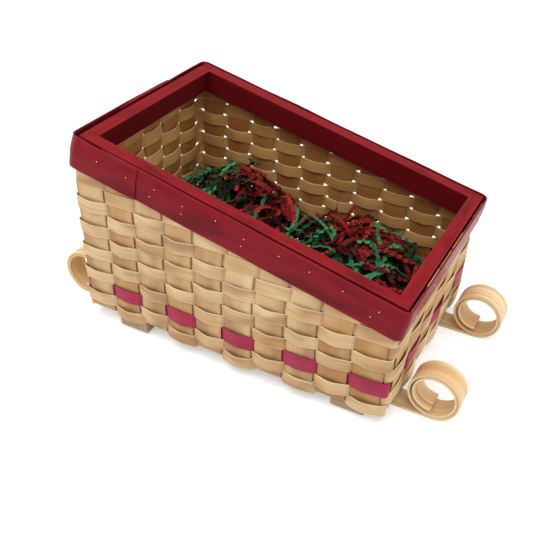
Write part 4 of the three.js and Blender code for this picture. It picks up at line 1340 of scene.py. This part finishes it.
class HAMPER_OT_staples(bpy.types.Operator):
    """Clenched tips of the staples that hold band, stakes and battens together, one or two at each stake"""

    bl_idname = "hamper.staples"
    bl_label = "Staple tips"

    def execute(self, context):
        rim = context.scene.hamper_rim
        weave = context.scene.hamper_weave
        rng = np.random.default_rng(15)
        centres, outs = self.tips(rim, weave, rng)
        dome, faces, slope = self.dome(rim.staple_radius)
        sideways = np.cross(outs, UP)
        points = (
            centres[:, None, :]
            + sideways[:, None, :] * dome[None, :, :1]
            + np.array(UP) * dome[None, :, 1:2]
            + outs[:, None, :] * dome[None, :, 2:]
        )
        points = to_rim(points, rim, weave)
        faces = copied(faces, len(centres), len(dome))
        values = {"tone": np.tile(slope, len(centres))}
        place_piece("staple_tips", points, faces, values, galvanised_wire(rim), HAMPER, [])
        return {"FINISHED"}

    @staticmethod
    def tips(rim, weave, rng):
        """Tips on the band's outer face at each stake, with a lower one set back at one stake in four."""
        half_length, half_width = rim_halves(rim)
        face = rim.gap + rim.band_thickness
        lap = rim.band_thickness + rim.seam
        walls = (
            (True, weave.cross_stakes, half_length, half_width, rim.short_side),
            (False, weave.long_stakes, half_width, half_length, rim.short_back),
        )
        centres, outs = [], []
        for on_side, stakes, half, off, short in walls:
            run = (np.arange(stakes) + 0.5) / stakes * (2 * half - 2 * STAPLE_MARGIN * MM)
            run = run - half + STAPLE_MARGIN * MM
            for sign in (-1, 1):
                for down, set_back in STAPLE_ROWS:
                    place = run + set_back * MM + rng.uniform(-SCATTER_ALONG, SCATTER_ALONG, stakes) * MM
                    lapped = (place < short - half) & (sign < 0)
                    proud = sign * (off + face + lap * lapped)
                    z = -(down + rng.uniform(-SCATTER_DOWN, SCATTER_DOWN, stakes)) * MM
                    centres.append(joined(place, proud, z) if on_side else joined(proud, place, z))
                    outs.append(np.tile([0.0, sign, 0.0] if on_side else [sign, 0.0, 0.0], (stakes, 1)))
        centres, outs = np.concatenate(centres), np.concatenate(outs)
        shown = (centres[:, 2] > -BETWEEN_ROWS * MM) | (rng.uniform(size=len(centres)) < LOWER_SHARE)
        return centres[shown], outs[shown]

    @staticmethod
    def dome(radius):
        """A low closed dome: rings of points whose radius is a cosine and whose height is a sine."""
        tilt = np.array(DOME_TILTS)
        spin = np.arange(DOME_POINTS) / DOME_POINTS * 2 * np.pi
        level = np.cos(tilt)[:, None]
        ring = joined(level * np.cos(spin), level * np.sin(spin), DOME_HEIGHT * np.sin(tilt)[:, None])
        faces = [face[::-1] for face in skin(len(tilt), DOME_POINTS)]
        return ring.reshape(-1, 3) * radius, faces, np.repeat(tilt, DOME_POINTS)


# Nails, bars and runners


# Length of the rim's nails, and points round a nail
RIM_NAIL_LENGTH = 26 * MM
NAIL_POINTS = 16
# Rings of a nail's head: shares of its radius, and depths in millimetres
HEAD_SHARES = (0.6, 0.95, 1.0, 1.0)
HEAD_DEPTHS = (0, 0.15, 0.35, 0.8)
# Rings of its shank: shares of the radius, and the length of the point in millimetres
SHANK_SHARES = (1, 1, 0.1)
POINT_LENGTH = 2
# A direction that no nail has
ASKEW = (1.0, 0.3, 0.2)
# How far from the eased edges of bars, and from those of runners, their faces get points of their own
BAR_SUPPORT = 0.6 * MM
RUNNER_SUPPORT = 0.9 * MM
RUNNER_EASE = 0.4 * MM
# Points along a scroll and along the strip between two, and the turns over which a scroll's end springs
SCROLL_POINTS = 190
SOLE_POINTS = 120
SPRING_TURNS = (1.5, 2.05)


class HAMPER_OT_nails(bpy.types.Operator):
    """Wire nails through the rim's corners and up through the runners into the bars"""

    bl_idname = "hamper.nails"
    bl_label = "Nails"

    def execute(self, context):
        sledge = context.scene.hamper_sledge
        rim = context.scene.hamper_rim
        weave = context.scene.hamper_weave
        finish = galvanised_wire(rim)
        for end, end_sign in ENDS.items():
            for side, sign in SIDES.items():
                x = end_sign * (rim.opening_length + rim.batten_thickness) / 2
                y = sign * (rim.opening_width / 2 + rim.batten_thickness - rim.seam)
                head = np.array([x, y, -rim.batten_height / 2])
                points, faces = self.nail(head, np.array([0.0, -sign, 0.0]), RIM_NAIL_LENGTH, sledge)
                self.place(f"rim_nail_{end}_{side}", to_rim(points, rim, weave), faces, finish)
                low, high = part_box(f"runner_nail_{end}_{side}")
                head = np.array([(low.x + high.x) / 2, (low.y + high.y) / 2, low.z])
                points, faces = self.nail(head, np.array(UP), high.z - low.z, sledge)
                self.place(f"runner_nail_{end}_{side}", points, faces, finish)
        return {"FINISHED"}

    @staticmethod
    def nail(head, along, length, sledge):
        """A profile of head, shank and point turned round the nail's line."""
        head_radii = np.array(HEAD_SHARES) * sledge.nail_head
        radii = np.concatenate([head_radii, np.array(SHANK_SHARES) * sledge.nail_shank])
        depths = np.array([*HEAD_DEPTHS, HEAD_DEPTHS[-1], length / MM - POINT_LENGTH, length / MM]) * MM
        spin = np.arange(NAIL_POINTS) / NAIL_POINTS * 2 * np.pi
        first = unit(np.cross(along, ASKEW))
        second = np.cross(along, first)
        around = np.cos(spin)[:, None] * first + np.sin(spin)[:, None] * second
        points = head + depths[:, None, None] * along + radii[:, None, None] * around[None]
        faces = [face[::-1] for face in skin(len(radii), NAIL_POINTS)]
        return points, faces

    @staticmethod
    def place(node, points, faces, finish):
        """Places a nail in its CAD node's stead."""
        tone = np.zeros(points.shape[0] * points.shape[1])
        place_piece(f"wire_{node}", points, faces, {"tone": tone}, finish, HAMPER, [node])


class HAMPER_OT_bars(bpy.types.Operator):
    """Two sawn bars across under the base"""

    bl_idname = "hamper.bars"
    bl_label = "Base bars"

    def execute(self, context):
        sledge = context.scene.hamper_sledge
        finish = sawn_bar(sledge)
        rng = np.random.default_rng(16)
        for end in ENDS:
            name = f"base_bar_{end}"
            low, high = (np.array(corner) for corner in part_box(name))
            length, width, height = (high - low)[[1, 0, 2]]
            rings, along, ring = stick(length, width, height, sledge.bar_ease, BAR_SUPPORT)
            rings = turned(rings) + (low + high) / 2
            along = along + rng.uniform(0, GRAIN_RANGE)
            place_strip("sawn", name, rings, along, ring, rng.uniform(0, 1), finish)
        return {"FINISHED"}


class HAMPER_OT_runners(bpy.types.Operator):
    """Two thin strips along the floor, wound into a scroll at each end"""

    bl_idname = "hamper.runners"
    bl_label = "Runners"

    def execute(self, context):
        sledge = context.scene.hamper_sledge
        weave = context.scene.hamper_weave
        finish = bent_veneer(sledge)
        rng = np.random.default_rng(17)
        path = self.path(sledge)
        wide = sledge.runner_width / 2 - RUNNER_SUPPORT
        places = np.linspace(-wide, wide, 6)
        ring = section(sledge.runner_width, sledge.runner_thickness, RUNNER_EASE, places, (0.0,))
        rings = sweep(path, (0, -1, 0), ring[0], ring[1])
        for side, sign in SIDES.items():
            shift = (0, sign * sledge.runner_spacing / 2 + weave.centre_y, 0)
            along = travelled(path) + rng.uniform(0, GRAIN_RANGE)
            tone = rng.uniform(0, 1)
            place_strip("bent", f"runner_{side}", rings + shift, along, ring, tone, finish)
        return {"FINISHED"}

    @staticmethod
    def path(sledge):
        """A spiral that closes in by a step each turn, a straight strip on the floor and a mirrored spiral.

        Over the last half turn the spiral closes in further by the spring, so that the end stands off.
        """
        outer = sledge.scroll_radius - sledge.runner_thickness / 2
        centre = sledge.half_length - sledge.scroll_radius + sledge.scroll_step / 4
        turns = np.linspace(0, sledge.scroll_turns, SCROLL_POINTS)
        radius = outer - sledge.scroll_step * turns - sledge.scroll_spring * smooth(turns, *SPRING_TURNS)
        x = centre + radius * np.sin(2 * np.pi * turns)
        z = sledge.scroll_radius - radius * np.cos(2 * np.pi * turns)
        sole = np.linspace(-centre, centre, SOLE_POINTS)[1:-1]
        return joined(
            np.concatenate([-x[::-1], sole, x]),
            0.0,
            np.concatenate([z[::-1], np.full(sole.size, sledge.runner_thickness / 2), z]),
        )


# Paper


# Numbers whose multiples, less the whole part, spread evenly
PLASTIC_NUMBER = 1.32471796
GOLDEN_RATIO = 1.61803399
# Places on the heap, in millimetres along and across, where strips of one colour lie together
GREEN_CLUMPS = (
    *((-105, 65), (-100, 78), (-85, 74), (-83, 54), (-95, 35), (-60, 30), (-20, 75)),
    *((10, 75), (10, 35), (50, 12), (80, 10), (90, 55), (70, 80)),
)
RED_CLUMPS = (
    *((-70, 50), (-55, 56), (-45, 70), (-30, 40), (-10, 58), (30, 60)),
    *((50, 35), (45, 75), (100, 30), (85, 80), (95, 5)),
)
# How much nearer a green clump has to be, and the spread of the strays, in millimetres
GREEN_LESS = 4
STRAY_SPREAD = 9
# Loose piles over the heap: place along and across, reach and height, in millimetres
PILES = (
    (-92, 64, 36, 16),
    (-54, 64, 32, 17),
    (-114, 25, 28, 26),
    (20, 68, 36, 12),
    (75, 68, 34, 10),
    (58, 16, 42, 9),
)
# For the top, packed, piled and loose strips: twist in radians, and share and least value of the tone.
# The packed strips' low share of the tone is painted shade deep in the heap.
LAYER_TWISTS = (0.1, 0.35, 0.25, 0.3)
LAYER_TONES_AND_SHADE = (1.0, 0.1, 1.0, 0.6)
LEAST_TONES = (0.0, 0.0, 0.0, 0.4)
# Powers of the beta curves of a strip's tone and of the height of its folds
PAPER_TONE = (1.1, 1.4)
FOLD_SPREAD = (1.3, 1.4)
# Spread of a curl's turn, in radians per metre, and of its wander, in radians, and the wander's length
CURL_TURN = 11
LOOSE_TURN = 10
CURL_WANDER = 0.5
WANDER_LENGTH = 0.06
# Least value and how much more it may be: level share of a curl's length, and height of the folds as a share
CURL_PACE = (0.6, 0.35)
FOLD_HEIGHT = (0.3, 0.7)
# The same for the waves of a strip: height in millimetres, and length in metres
WAVE_HEIGHT = (1, 3)
WAVE_LENGTH = (0.03, 0.04)
# The same for a loose strip: slope, and droop per metre
LOOSE_SLOPE = (0.1, 0.6)
LOOSE_DROOP = (2, 4)
# Ranges of the height from fold to fold and of a strip's width, as shares
FOLD_RANGE = (0.6, 1.0)
WIDTH_RANGE = (0.8, 1.15)
# How much the spread of the twist grows along a strip, in each metre
TWIST_GROWTH = 12
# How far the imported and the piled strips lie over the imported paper's top, and the lowest ones over its foot
PACKED_LIFT = 1.5 * MM
PILED_LIFT = 2 * MM
FOOT_LIFT = 2 * MM
# How far inside the heap's sides the middle lines stay
SIDE_MARGIN = 1.5 * MM
# Places tried for each one taken, and the power that puts more strips high in the piles
TRIES = 12
PILE_POWER = 0.8
# Loose strips: share of the piles' height at which they start, and pace as a share of their length
LOOSE_START = 0.8
LOOSE_PACE = 0.65
# How much a loose strip's slope shortens it, and the power that makes steep ones rare
STEEP_SHARE = 0.9
STEEP_POWER = 1.5


def drawn(least, extra, share):
    """A value from least to least plus extra, by a share that was drawn."""
    return least + extra * share


class HAMPER_OT_paper(bpy.types.Operator):
    """Loose crinkled strips of shredded paper, some green and some red"""

    bl_idname = "hamper.paper"
    bl_label = "Shredded paper"

    def execute(self, context):
        paper = context.scene.hamper_paper
        rng = np.random.default_rng(18)
        low, high = (np.array(corner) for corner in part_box("paper_fill"))
        layers = [
            self.top_lines(low, high, paper),
            self.packed_lines(low, high, paper, rng),
            self.piled_lines(low, high, paper, rng),
            self.loose_lines(low, high, paper, rng),
        ]
        lines = np.concatenate(layers)
        counts = [len(layer) for layer in layers]
        points, grain = self.ribbons(lines, np.repeat(LAYER_TWISTS, counts)[:, None], paper, rng)
        # The packed strips' low tone is painted shade deep in the heap
        tones = rng.beta(*PAPER_TONE, len(lines)) * np.repeat(LAYER_TONES_AND_SHADE, counts)
        tones = tones + np.repeat(LEAST_TONES, counts)
        green = self.is_green(lines, rng)
        stations, corners = points.shape[1:3]
        each = skin(stations, corners)
        for name, chosen, bright, dark in (
            ("green", green, paper.green, paper.green_shade),
            ("red", ~green, paper.red, paper.red_shade),
        ):
            some = points[chosen]
            faces = copied(each, len(some), stations * corners)
            values = {
                "grain": grain[chosen].reshape(-1, 3),
                "tone": np.repeat(tones[chosen], stations * corners),
            }
            finish = dyed_paper(f"kraft_tissue_dyed_{name}", bright, dark)
            place_piece(
                f"paper_strips_{name}", some, faces, values, finish, PAPER, ["paper_fill"]
            )
        return {"FINISHED"}

    @staticmethod
    def top(x, y, low, high, paper):
        """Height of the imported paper: its edge plus two mounds, each an exponential of distance squared."""
        height = low[2] + paper.edge_height
        for middle, reach, rise in (
            (paper.back_mound, paper.back_reach, paper.back_height),
            (paper.front_mound, paper.front_reach, paper.front_height),
        ):
            along = x - low[0] - middle[0] * (high[0] - low[0])
            across = y - low[1] - middle[1] * (high[1] - low[1])
            height = height + rise * np.exp(-((np.hypot(along, across) / reach) ** 2))
        return height

    @classmethod
    def top_lines(cls, low, high, paper):
        """Middle lines of the strips on top, the same as those of the CAD heap.

        A strip's number over the plastic number and its square, and times the golden ratio and two square
        roots, less the whole part, gives its place, heading, curl and phase. It rises and sinks by a sine.
        """
        number = np.arange(1, paper.top_strips + 1)[:, None]
        s = (np.arange(paper.folds) - (paper.folds - 1) / 2) * paper.fold_pitch
        share = np.mod(joined(number / PLASTIC_NUMBER, number / PLASTIC_NUMBER**2), 1)
        room = (high - low)[:2]
        place = low[:2] + paper.top_inset + share * (room - 2 * paper.top_inset)
        space = np.minimum(place - low[:2], high[:2] - place) - paper.width / 2
        reach = np.minimum(1, space / s[-1])
        curl = paper.top_curl * (2 * np.mod(number * math.sqrt(2), 1) - 1)
        turn = 2 * np.pi * np.mod(number * GOLDEN_RATIO, 1) + curl * s / 2
        x = place[..., 0] + s * reach[..., 0] * np.cos(turn)
        y = place[..., 1] + s * reach[..., 1] * np.sin(turn)
        phase = np.mod(number * math.sqrt(3), 1)
        wave = paper.top_wave * np.sin(2 * np.pi * (s / paper.top_wave_length + phase))
        return joined(x, y, cls.top(x, y, low, high, paper) + paper.top_lift + wave)

    @staticmethod
    def loft(x, y):
        """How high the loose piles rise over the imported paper: each an exponential of distance squared."""
        along, across, reach, rise = np.array(PILES).T * MM
        apart = np.hypot(x[..., None] - along, y[..., None] - across)
        return (rise * np.exp(-((apart / reach) ** 2))).sum(axis=-1)

    @classmethod
    def curls(cls, places, low, high, paper, rng):
        """X and Y of strips round given places: curls that turn evenly and wander by a sine."""
        count = len(places)
        s = np.arange(paper.folds) * paper.fold_pitch
        own = rng.uniform(size=(3, count, 1))
        bell = rng.normal(size=(2, count, 1))
        wander = CURL_WANDER * bell[1] * np.sin(2 * np.pi * (s / WANDER_LENGTH + own[1]))
        heading = 2 * np.pi * own[0] + CURL_TURN * bell[0] * s + wander
        pace = drawn(*CURL_PACE, own[2]) * paper.fold_pitch
        track = np.cumsum(pace[..., None] * joined(np.cos(heading), np.sin(heading)), axis=1)
        return cls.inside(track - track.mean(axis=1, keepdims=True) + places[:, None], low, high)

    @staticmethod
    def waves(paper, count, rng):
        """Heights along strips that rise and sink by a sine of their own."""
        s = np.arange(paper.folds) * paper.fold_pitch
        own = rng.uniform(size=(3, count, 1))
        height = drawn(*WAVE_HEIGHT, own[0]) * MM
        return height * np.sin(2 * np.pi * (s / drawn(*WAVE_LENGTH, own[1]) + own[2]))

    @classmethod
    def packed_lines(cls, low, high, paper, rng):
        """Middle lines of the deeper strips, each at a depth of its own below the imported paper's top."""
        count = paper.packed_strips
        x, y = cls.curls(rng.uniform(low[:2], high[:2], (count, 2)), low, high, paper, rng)
        depth = paper.settle * rng.exponential(size=(count, 1))
        z = cls.top(x, y, low, high, paper) + PACKED_LIFT - depth + cls.waves(paper, count, rng)
        return joined(x, y, np.maximum(z, low[2] + FOOT_LIFT))

    @classmethod
    def lofty_places(cls, low, high, count, rng):
        """Places on the heap, the more of them the higher the piles."""
        many = rng.uniform(low[:2], high[:2], (TRIES * count, 2))
        weight = cls.loft(many[:, 0], many[:, 1])
        return many[rng.choice(len(many), count, replace=False, p=weight / weight.sum())]

    @classmethod
    def piled_lines(cls, low, high, paper, rng):
        """Middle lines of the strips in the loose piles, each at its own share of their height."""
        count = paper.piled_strips
        x, y = cls.curls(cls.lofty_places(low, high, count, rng), low, high, paper, rng)
        share = rng.uniform(size=(count, 1)) ** PILE_POWER
        z = cls.top(x, y, low, high, paper) + PILED_LIFT + share * cls.loft(x, y)
        return joined(x, y, z + cls.waves(paper, count, rng))

    @classmethod
    def loose_lines(cls, low, high, paper, rng):
        """Middle lines of the strips that stick up out of the piles: curls that climb and droop.

        A strip climbs evenly by its slope, and droops by the square of the distance along it.
        """
        count = paper.loose_strips
        s = np.arange(paper.folds) * paper.fold_pitch
        own = rng.uniform(size=(3, count, 1))
        heading = 2 * np.pi * own[0] + LOOSE_TURN * rng.normal(size=(count, 1)) * s
        slope = drawn(*LOOSE_SLOPE, own[1] ** STEEP_POWER)
        level = np.sqrt(1 - STEEP_SHARE * slope**2) * LOOSE_PACE * paper.fold_pitch
        track = np.cumsum(level[..., None] * joined(np.cos(heading), np.sin(heading)), axis=1)
        x, y = cls.inside(track + cls.lofty_places(low, high, count, rng)[:, None], low, high)
        foot = cls.top(x, y, low, high, paper)[:, :1] + LOOSE_START * cls.loft(x, y)[:, :1]
        return joined(x, y, foot + slope * LOOSE_PACE * s - drawn(*LOOSE_DROOP, own[2]) * s**2)

    @staticmethod
    def inside(place, low, high):
        """X and Y of places, with those beyond the heap's sides mirrored back."""
        near, far = low[:2] + SIDE_MARGIN, high[:2] - SIDE_MARGIN
        room = far - near
        place = near + room - np.abs(np.mod(place - near, 2 * room) - room)
        return place[..., 0], place[..., 1]

    @staticmethod
    def is_green(lines, rng):
        """Whether a strip lies nearer to a green clump than to a red one, with some strays."""
        middle = lines[..., :2].mean(axis=1)
        to_green, to_red = (
            np.linalg.norm(middle[:, None] - np.array(clumps) * MM, axis=-1).min(axis=1)
            for clumps in (GREEN_CLUMPS, RED_CLUMPS)
        )
        stray = GREEN_LESS + STRAY_SPREAD * rng.normal(size=len(lines))
        return to_green + stray * MM < to_red

    @staticmethod
    def ribbons(paths, twist, paper, rng):
        """Flat ribbons along the middle lines, folded to and fro about them.

        Every other point is moved to the other side of the line by the strip's own crinkle height, and a
        twist that grows along the strip turns the direction of the folds.
        """
        count, folds = paths.shape[:2]
        ahead = unit(np.gradient(paths, axis=1))
        level = unit(np.cross(ahead, np.broadcast_to(UP, ahead.shape)))
        up = np.cross(level, ahead)
        s = np.arange(folds) * paper.fold_pitch
        lean = twist * (rng.normal(size=(count, 1)) + TWIST_GROWTH * rng.normal(size=(count, 1)) * s)
        face = np.cos(lean)[..., None] * up + np.sin(lean)[..., None] * level
        broad = np.cross(ahead, face)
        height = paper.crinkle * drawn(*FOLD_HEIGHT, rng.beta(*FOLD_SPREAD, (count, 1)))
        height = height * rng.uniform(*FOLD_RANGE, (count, folds))
        sign = np.where(np.arange(folds) % 2 == 0, 1.0, -1.0)
        line = paths + face * (height * sign)[..., None]
        half = paper.width / 2 * rng.uniform(*WIDTH_RANGE, (count, 1, 1, 1))
        corners = np.array([[-1, 1], [1, 1], [1, -1], [-1, -1]])
        points = (
            line[:, :, None, :]
            + broad[:, :, None, :] * half * corners[:, :1]
            + face[:, :, None, :] * paper.thickness / 2 * corners[:, 1:]
        )
        along = s + rng.uniform(0, GRAIN_RANGE, (count, 1))
        grain = joined(along[:, :, None], paper.width / 2 * corners[:, 0], 0.0)
        return points, grain


# Stage


# Half the floor's width and its depth under the runners
FLOOR_REACH = 4.0
FLOOR_DEPTH = 0.2 * MM
# The camera's sensor in millimetres, and the nearest distance that it shows
SENSOR_WIDTH = 36
CLIP_START = 0.01


class HAMPER_OT_stage(bpy.types.Operator):
    """Pale floor, soft lamps, white surroundings and the camera"""

    bl_idname = "hamper.stage"
    bl_label = "Stage"

    def execute(self, context):
        scene = context.scene
        stage = scene.hamper_stage
        scene.view_settings.view_transform = "Standard"
        self.floor(scene, stage)
        self.surroundings(scene, stage)
        self.lamp(scene, "top_lamp", stage.top_place, stage.top_width, stage.top_power)
        self.lamp(scene, "end_lamp", stage.end_place, stage.end_width, stage.end_power)
        self.lamp(scene, "back_lamp", stage.back_place, stage.back_width, stage.back_power)
        self.camera(scene, stage)
        return {"FINISHED"}

    @staticmethod
    def seen(tree):
        """1 for rays from the camera, a gloss or a transparent surface, else 0."""
        rays = add_node(tree, "ShaderNodeLightPath")
        bent = add_node(
            tree,
            "ShaderNodeMath",
            {0: rays.outputs["Is Glossy Ray"], 1: rays.outputs["Is Transmission Ray"]},
            operation="MAXIMUM",
        )
        return add_node(
            tree,
            "ShaderNodeMath",
            {0: rays.outputs["Is Camera Ray"], 1: bent.outputs[0]},
            operation="MAXIMUM",
        ).outputs[0]

    def floor(self, scene, stage):
        """A wide flat floor just under the runners, whose white is added to what the lamps give it."""
        mesh = bpy.data.meshes.new("floor")
        corners = np.array([[-1, -1], [1, -1], [1, 1], [-1, 1]]) * FLOOR_REACH
        mesh.from_pydata(joined(corners[:, 0], corners[:, 1], -FLOOR_DEPTH), [], [[0, 1, 2, 3]])
        finish = bare_material("paper_sweep_white")
        tree = finish.node_tree
        glow = add_node(
            tree, "ShaderNodeMath", {0: self.seen(tree), 1: stage.floor_glow}, operation="MULTIPLY"
        )
        surface = add_node(
            tree,
            "ShaderNodeBsdfPrincipled",
            {
                "Base Color": opaque(stage.floor),
                "Roughness": 0.9,
                "Specular IOR Level": 0.1,
                "Emission Color": (1, 1, 1, 1),
                "Emission Strength": glow.outputs[0],
            },
        )
        add_node(tree, "ShaderNodeOutputMaterial", {"Surface": surface.outputs[0]})
        mesh.materials.append(finish)
        floor = bpy.data.objects.new("floor", mesh)
        scene.collection.objects.link(floor)

    def surroundings(self, scene, stage):
        """White where it is seen, and an even light from all round."""
        world = bpy.data.worlds.new("surroundings")
        world.use_nodes = True
        tree = world.node_tree
        tree.nodes.clear()
        strength = add_node(
            tree, "ShaderNodeMapRange", {"Value": self.seen(tree), "To Min": stage.ambient, "To Max": 1.0}
        )
        light = add_node(
            tree, "ShaderNodeBackground", {"Color": (1, 1, 1, 1), "Strength": strength.outputs[0]}
        )
        add_node(tree, "ShaderNodeOutputWorld", {"Surface": light.outputs[0]})
        scene.world = world

    @staticmethod
    def lamp(scene, name, place, width, power):
        """A square soft lamp turned towards the hamper."""
        light = bpy.data.lights.new(name, "AREA")
        light.energy = power
        light.size = width
        lamp = bpy.data.objects.new(name, light)
        toward = unit(-np.array(place))
        right = unit(np.cross(toward, UP))
        up = np.cross(right, toward)
        turn = Matrix((right, up, -toward)).transposed()
        lamp.matrix_world = Matrix.Translation(place) @ turn.to_4x4()
        scene.collection.objects.link(lamp)

    @staticmethod
    def camera(scene, stage):
        """The view down on the near side and the low front end, from azimuth, elevation and roll."""
        around, down, roll = stage.azimuth, stage.elevation, stage.roll
        level = math.cos(down)
        ahead = -np.array([math.sin(around) * level, -math.cos(around) * level, math.sin(down)])
        right = unit(np.cross(ahead, UP))
        below = np.cross(ahead, right)
        rolled_right = math.cos(roll) * right + math.sin(roll) * below
        rolled_below = -math.sin(roll) * right + math.cos(roll) * below
        turn = Matrix((rolled_right, -rolled_below, -ahead)).transposed()
        data = bpy.data.cameras.new("camera")
        data.sensor_width = SENSOR_WIDTH
        data.lens = stage.lens
        data.clip_start = CLIP_START
        data.dof.use_dof = False
        camera = bpy.data.objects.new("camera", data)
        camera.matrix_world = Matrix.Translation(stage.camera_place) @ turn.to_4x4()
        scene.collection.objects.link(camera)
        scene.camera = camera


class HAMPER_PT_pieces(bpy.types.Panel):
    """Lists the hamper's pieces in the order in which they are made"""

    bl_idname = "HAMPER_PT_pieces"
    bl_label = "Sleigh hamper"
    bl_space_type = "VIEW_3D"
    bl_region_type = "UI"
    bl_category = "Hamper"

    def draw(self, context):
        for operator in OPERATORS:
            self.layout.operator(operator.bl_idname)


GROUPS = {
    "hamper_rim": HamperRim,
    "hamper_weave": HamperWeave,
    "hamper_sledge": HamperSledge,
    "hamper_paper": HamperPaper,
    "hamper_stage": HamperStage,
}
OPERATORS = (
    HAMPER_OT_cross_stakes,
    HAMPER_OT_long_stakes,
    HAMPER_OT_weavers,
    HAMPER_OT_battens,
    HAMPER_OT_bands,
    HAMPER_OT_staples,
    HAMPER_OT_nails,
    HAMPER_OT_bars,
    HAMPER_OT_runners,
    HAMPER_OT_paper,
    HAMPER_OT_stage,
)
CLASSES = (*GROUPS.values(), *OPERATORS, HAMPER_PT_pieces)


def register():
    """Adds the classes and the scene's settings."""
    for item in CLASSES:
        bpy.utils.register_class(item)
    for name, group in GROUPS.items():
        setattr(bpy.types.Scene, name, PointerProperty(type=group))


def unregister():
    """Takes the settings and the classes away again."""
    for name in GROUPS:
        delattr(bpy.types.Scene, name)
    for item in reversed(CLASSES):
        bpy.utils.unregister_class(item)


def main():
    """Builds every piece and the stage."""
    register()
    bpy.ops.hamper.cross_stakes()
    bpy.ops.hamper.long_stakes()
    bpy.ops.hamper.weavers()
    bpy.ops.hamper.battens()
    bpy.ops.hamper.bands()
    bpy.ops.hamper.staples()
    bpy.ops.hamper.nails()
    bpy.ops.hamper.bars()
    bpy.ops.hamper.runners()
    bpy.ops.hamper.paper()
    bpy.ops.hamper.stage()


if __name__ == "__main__":
    main()
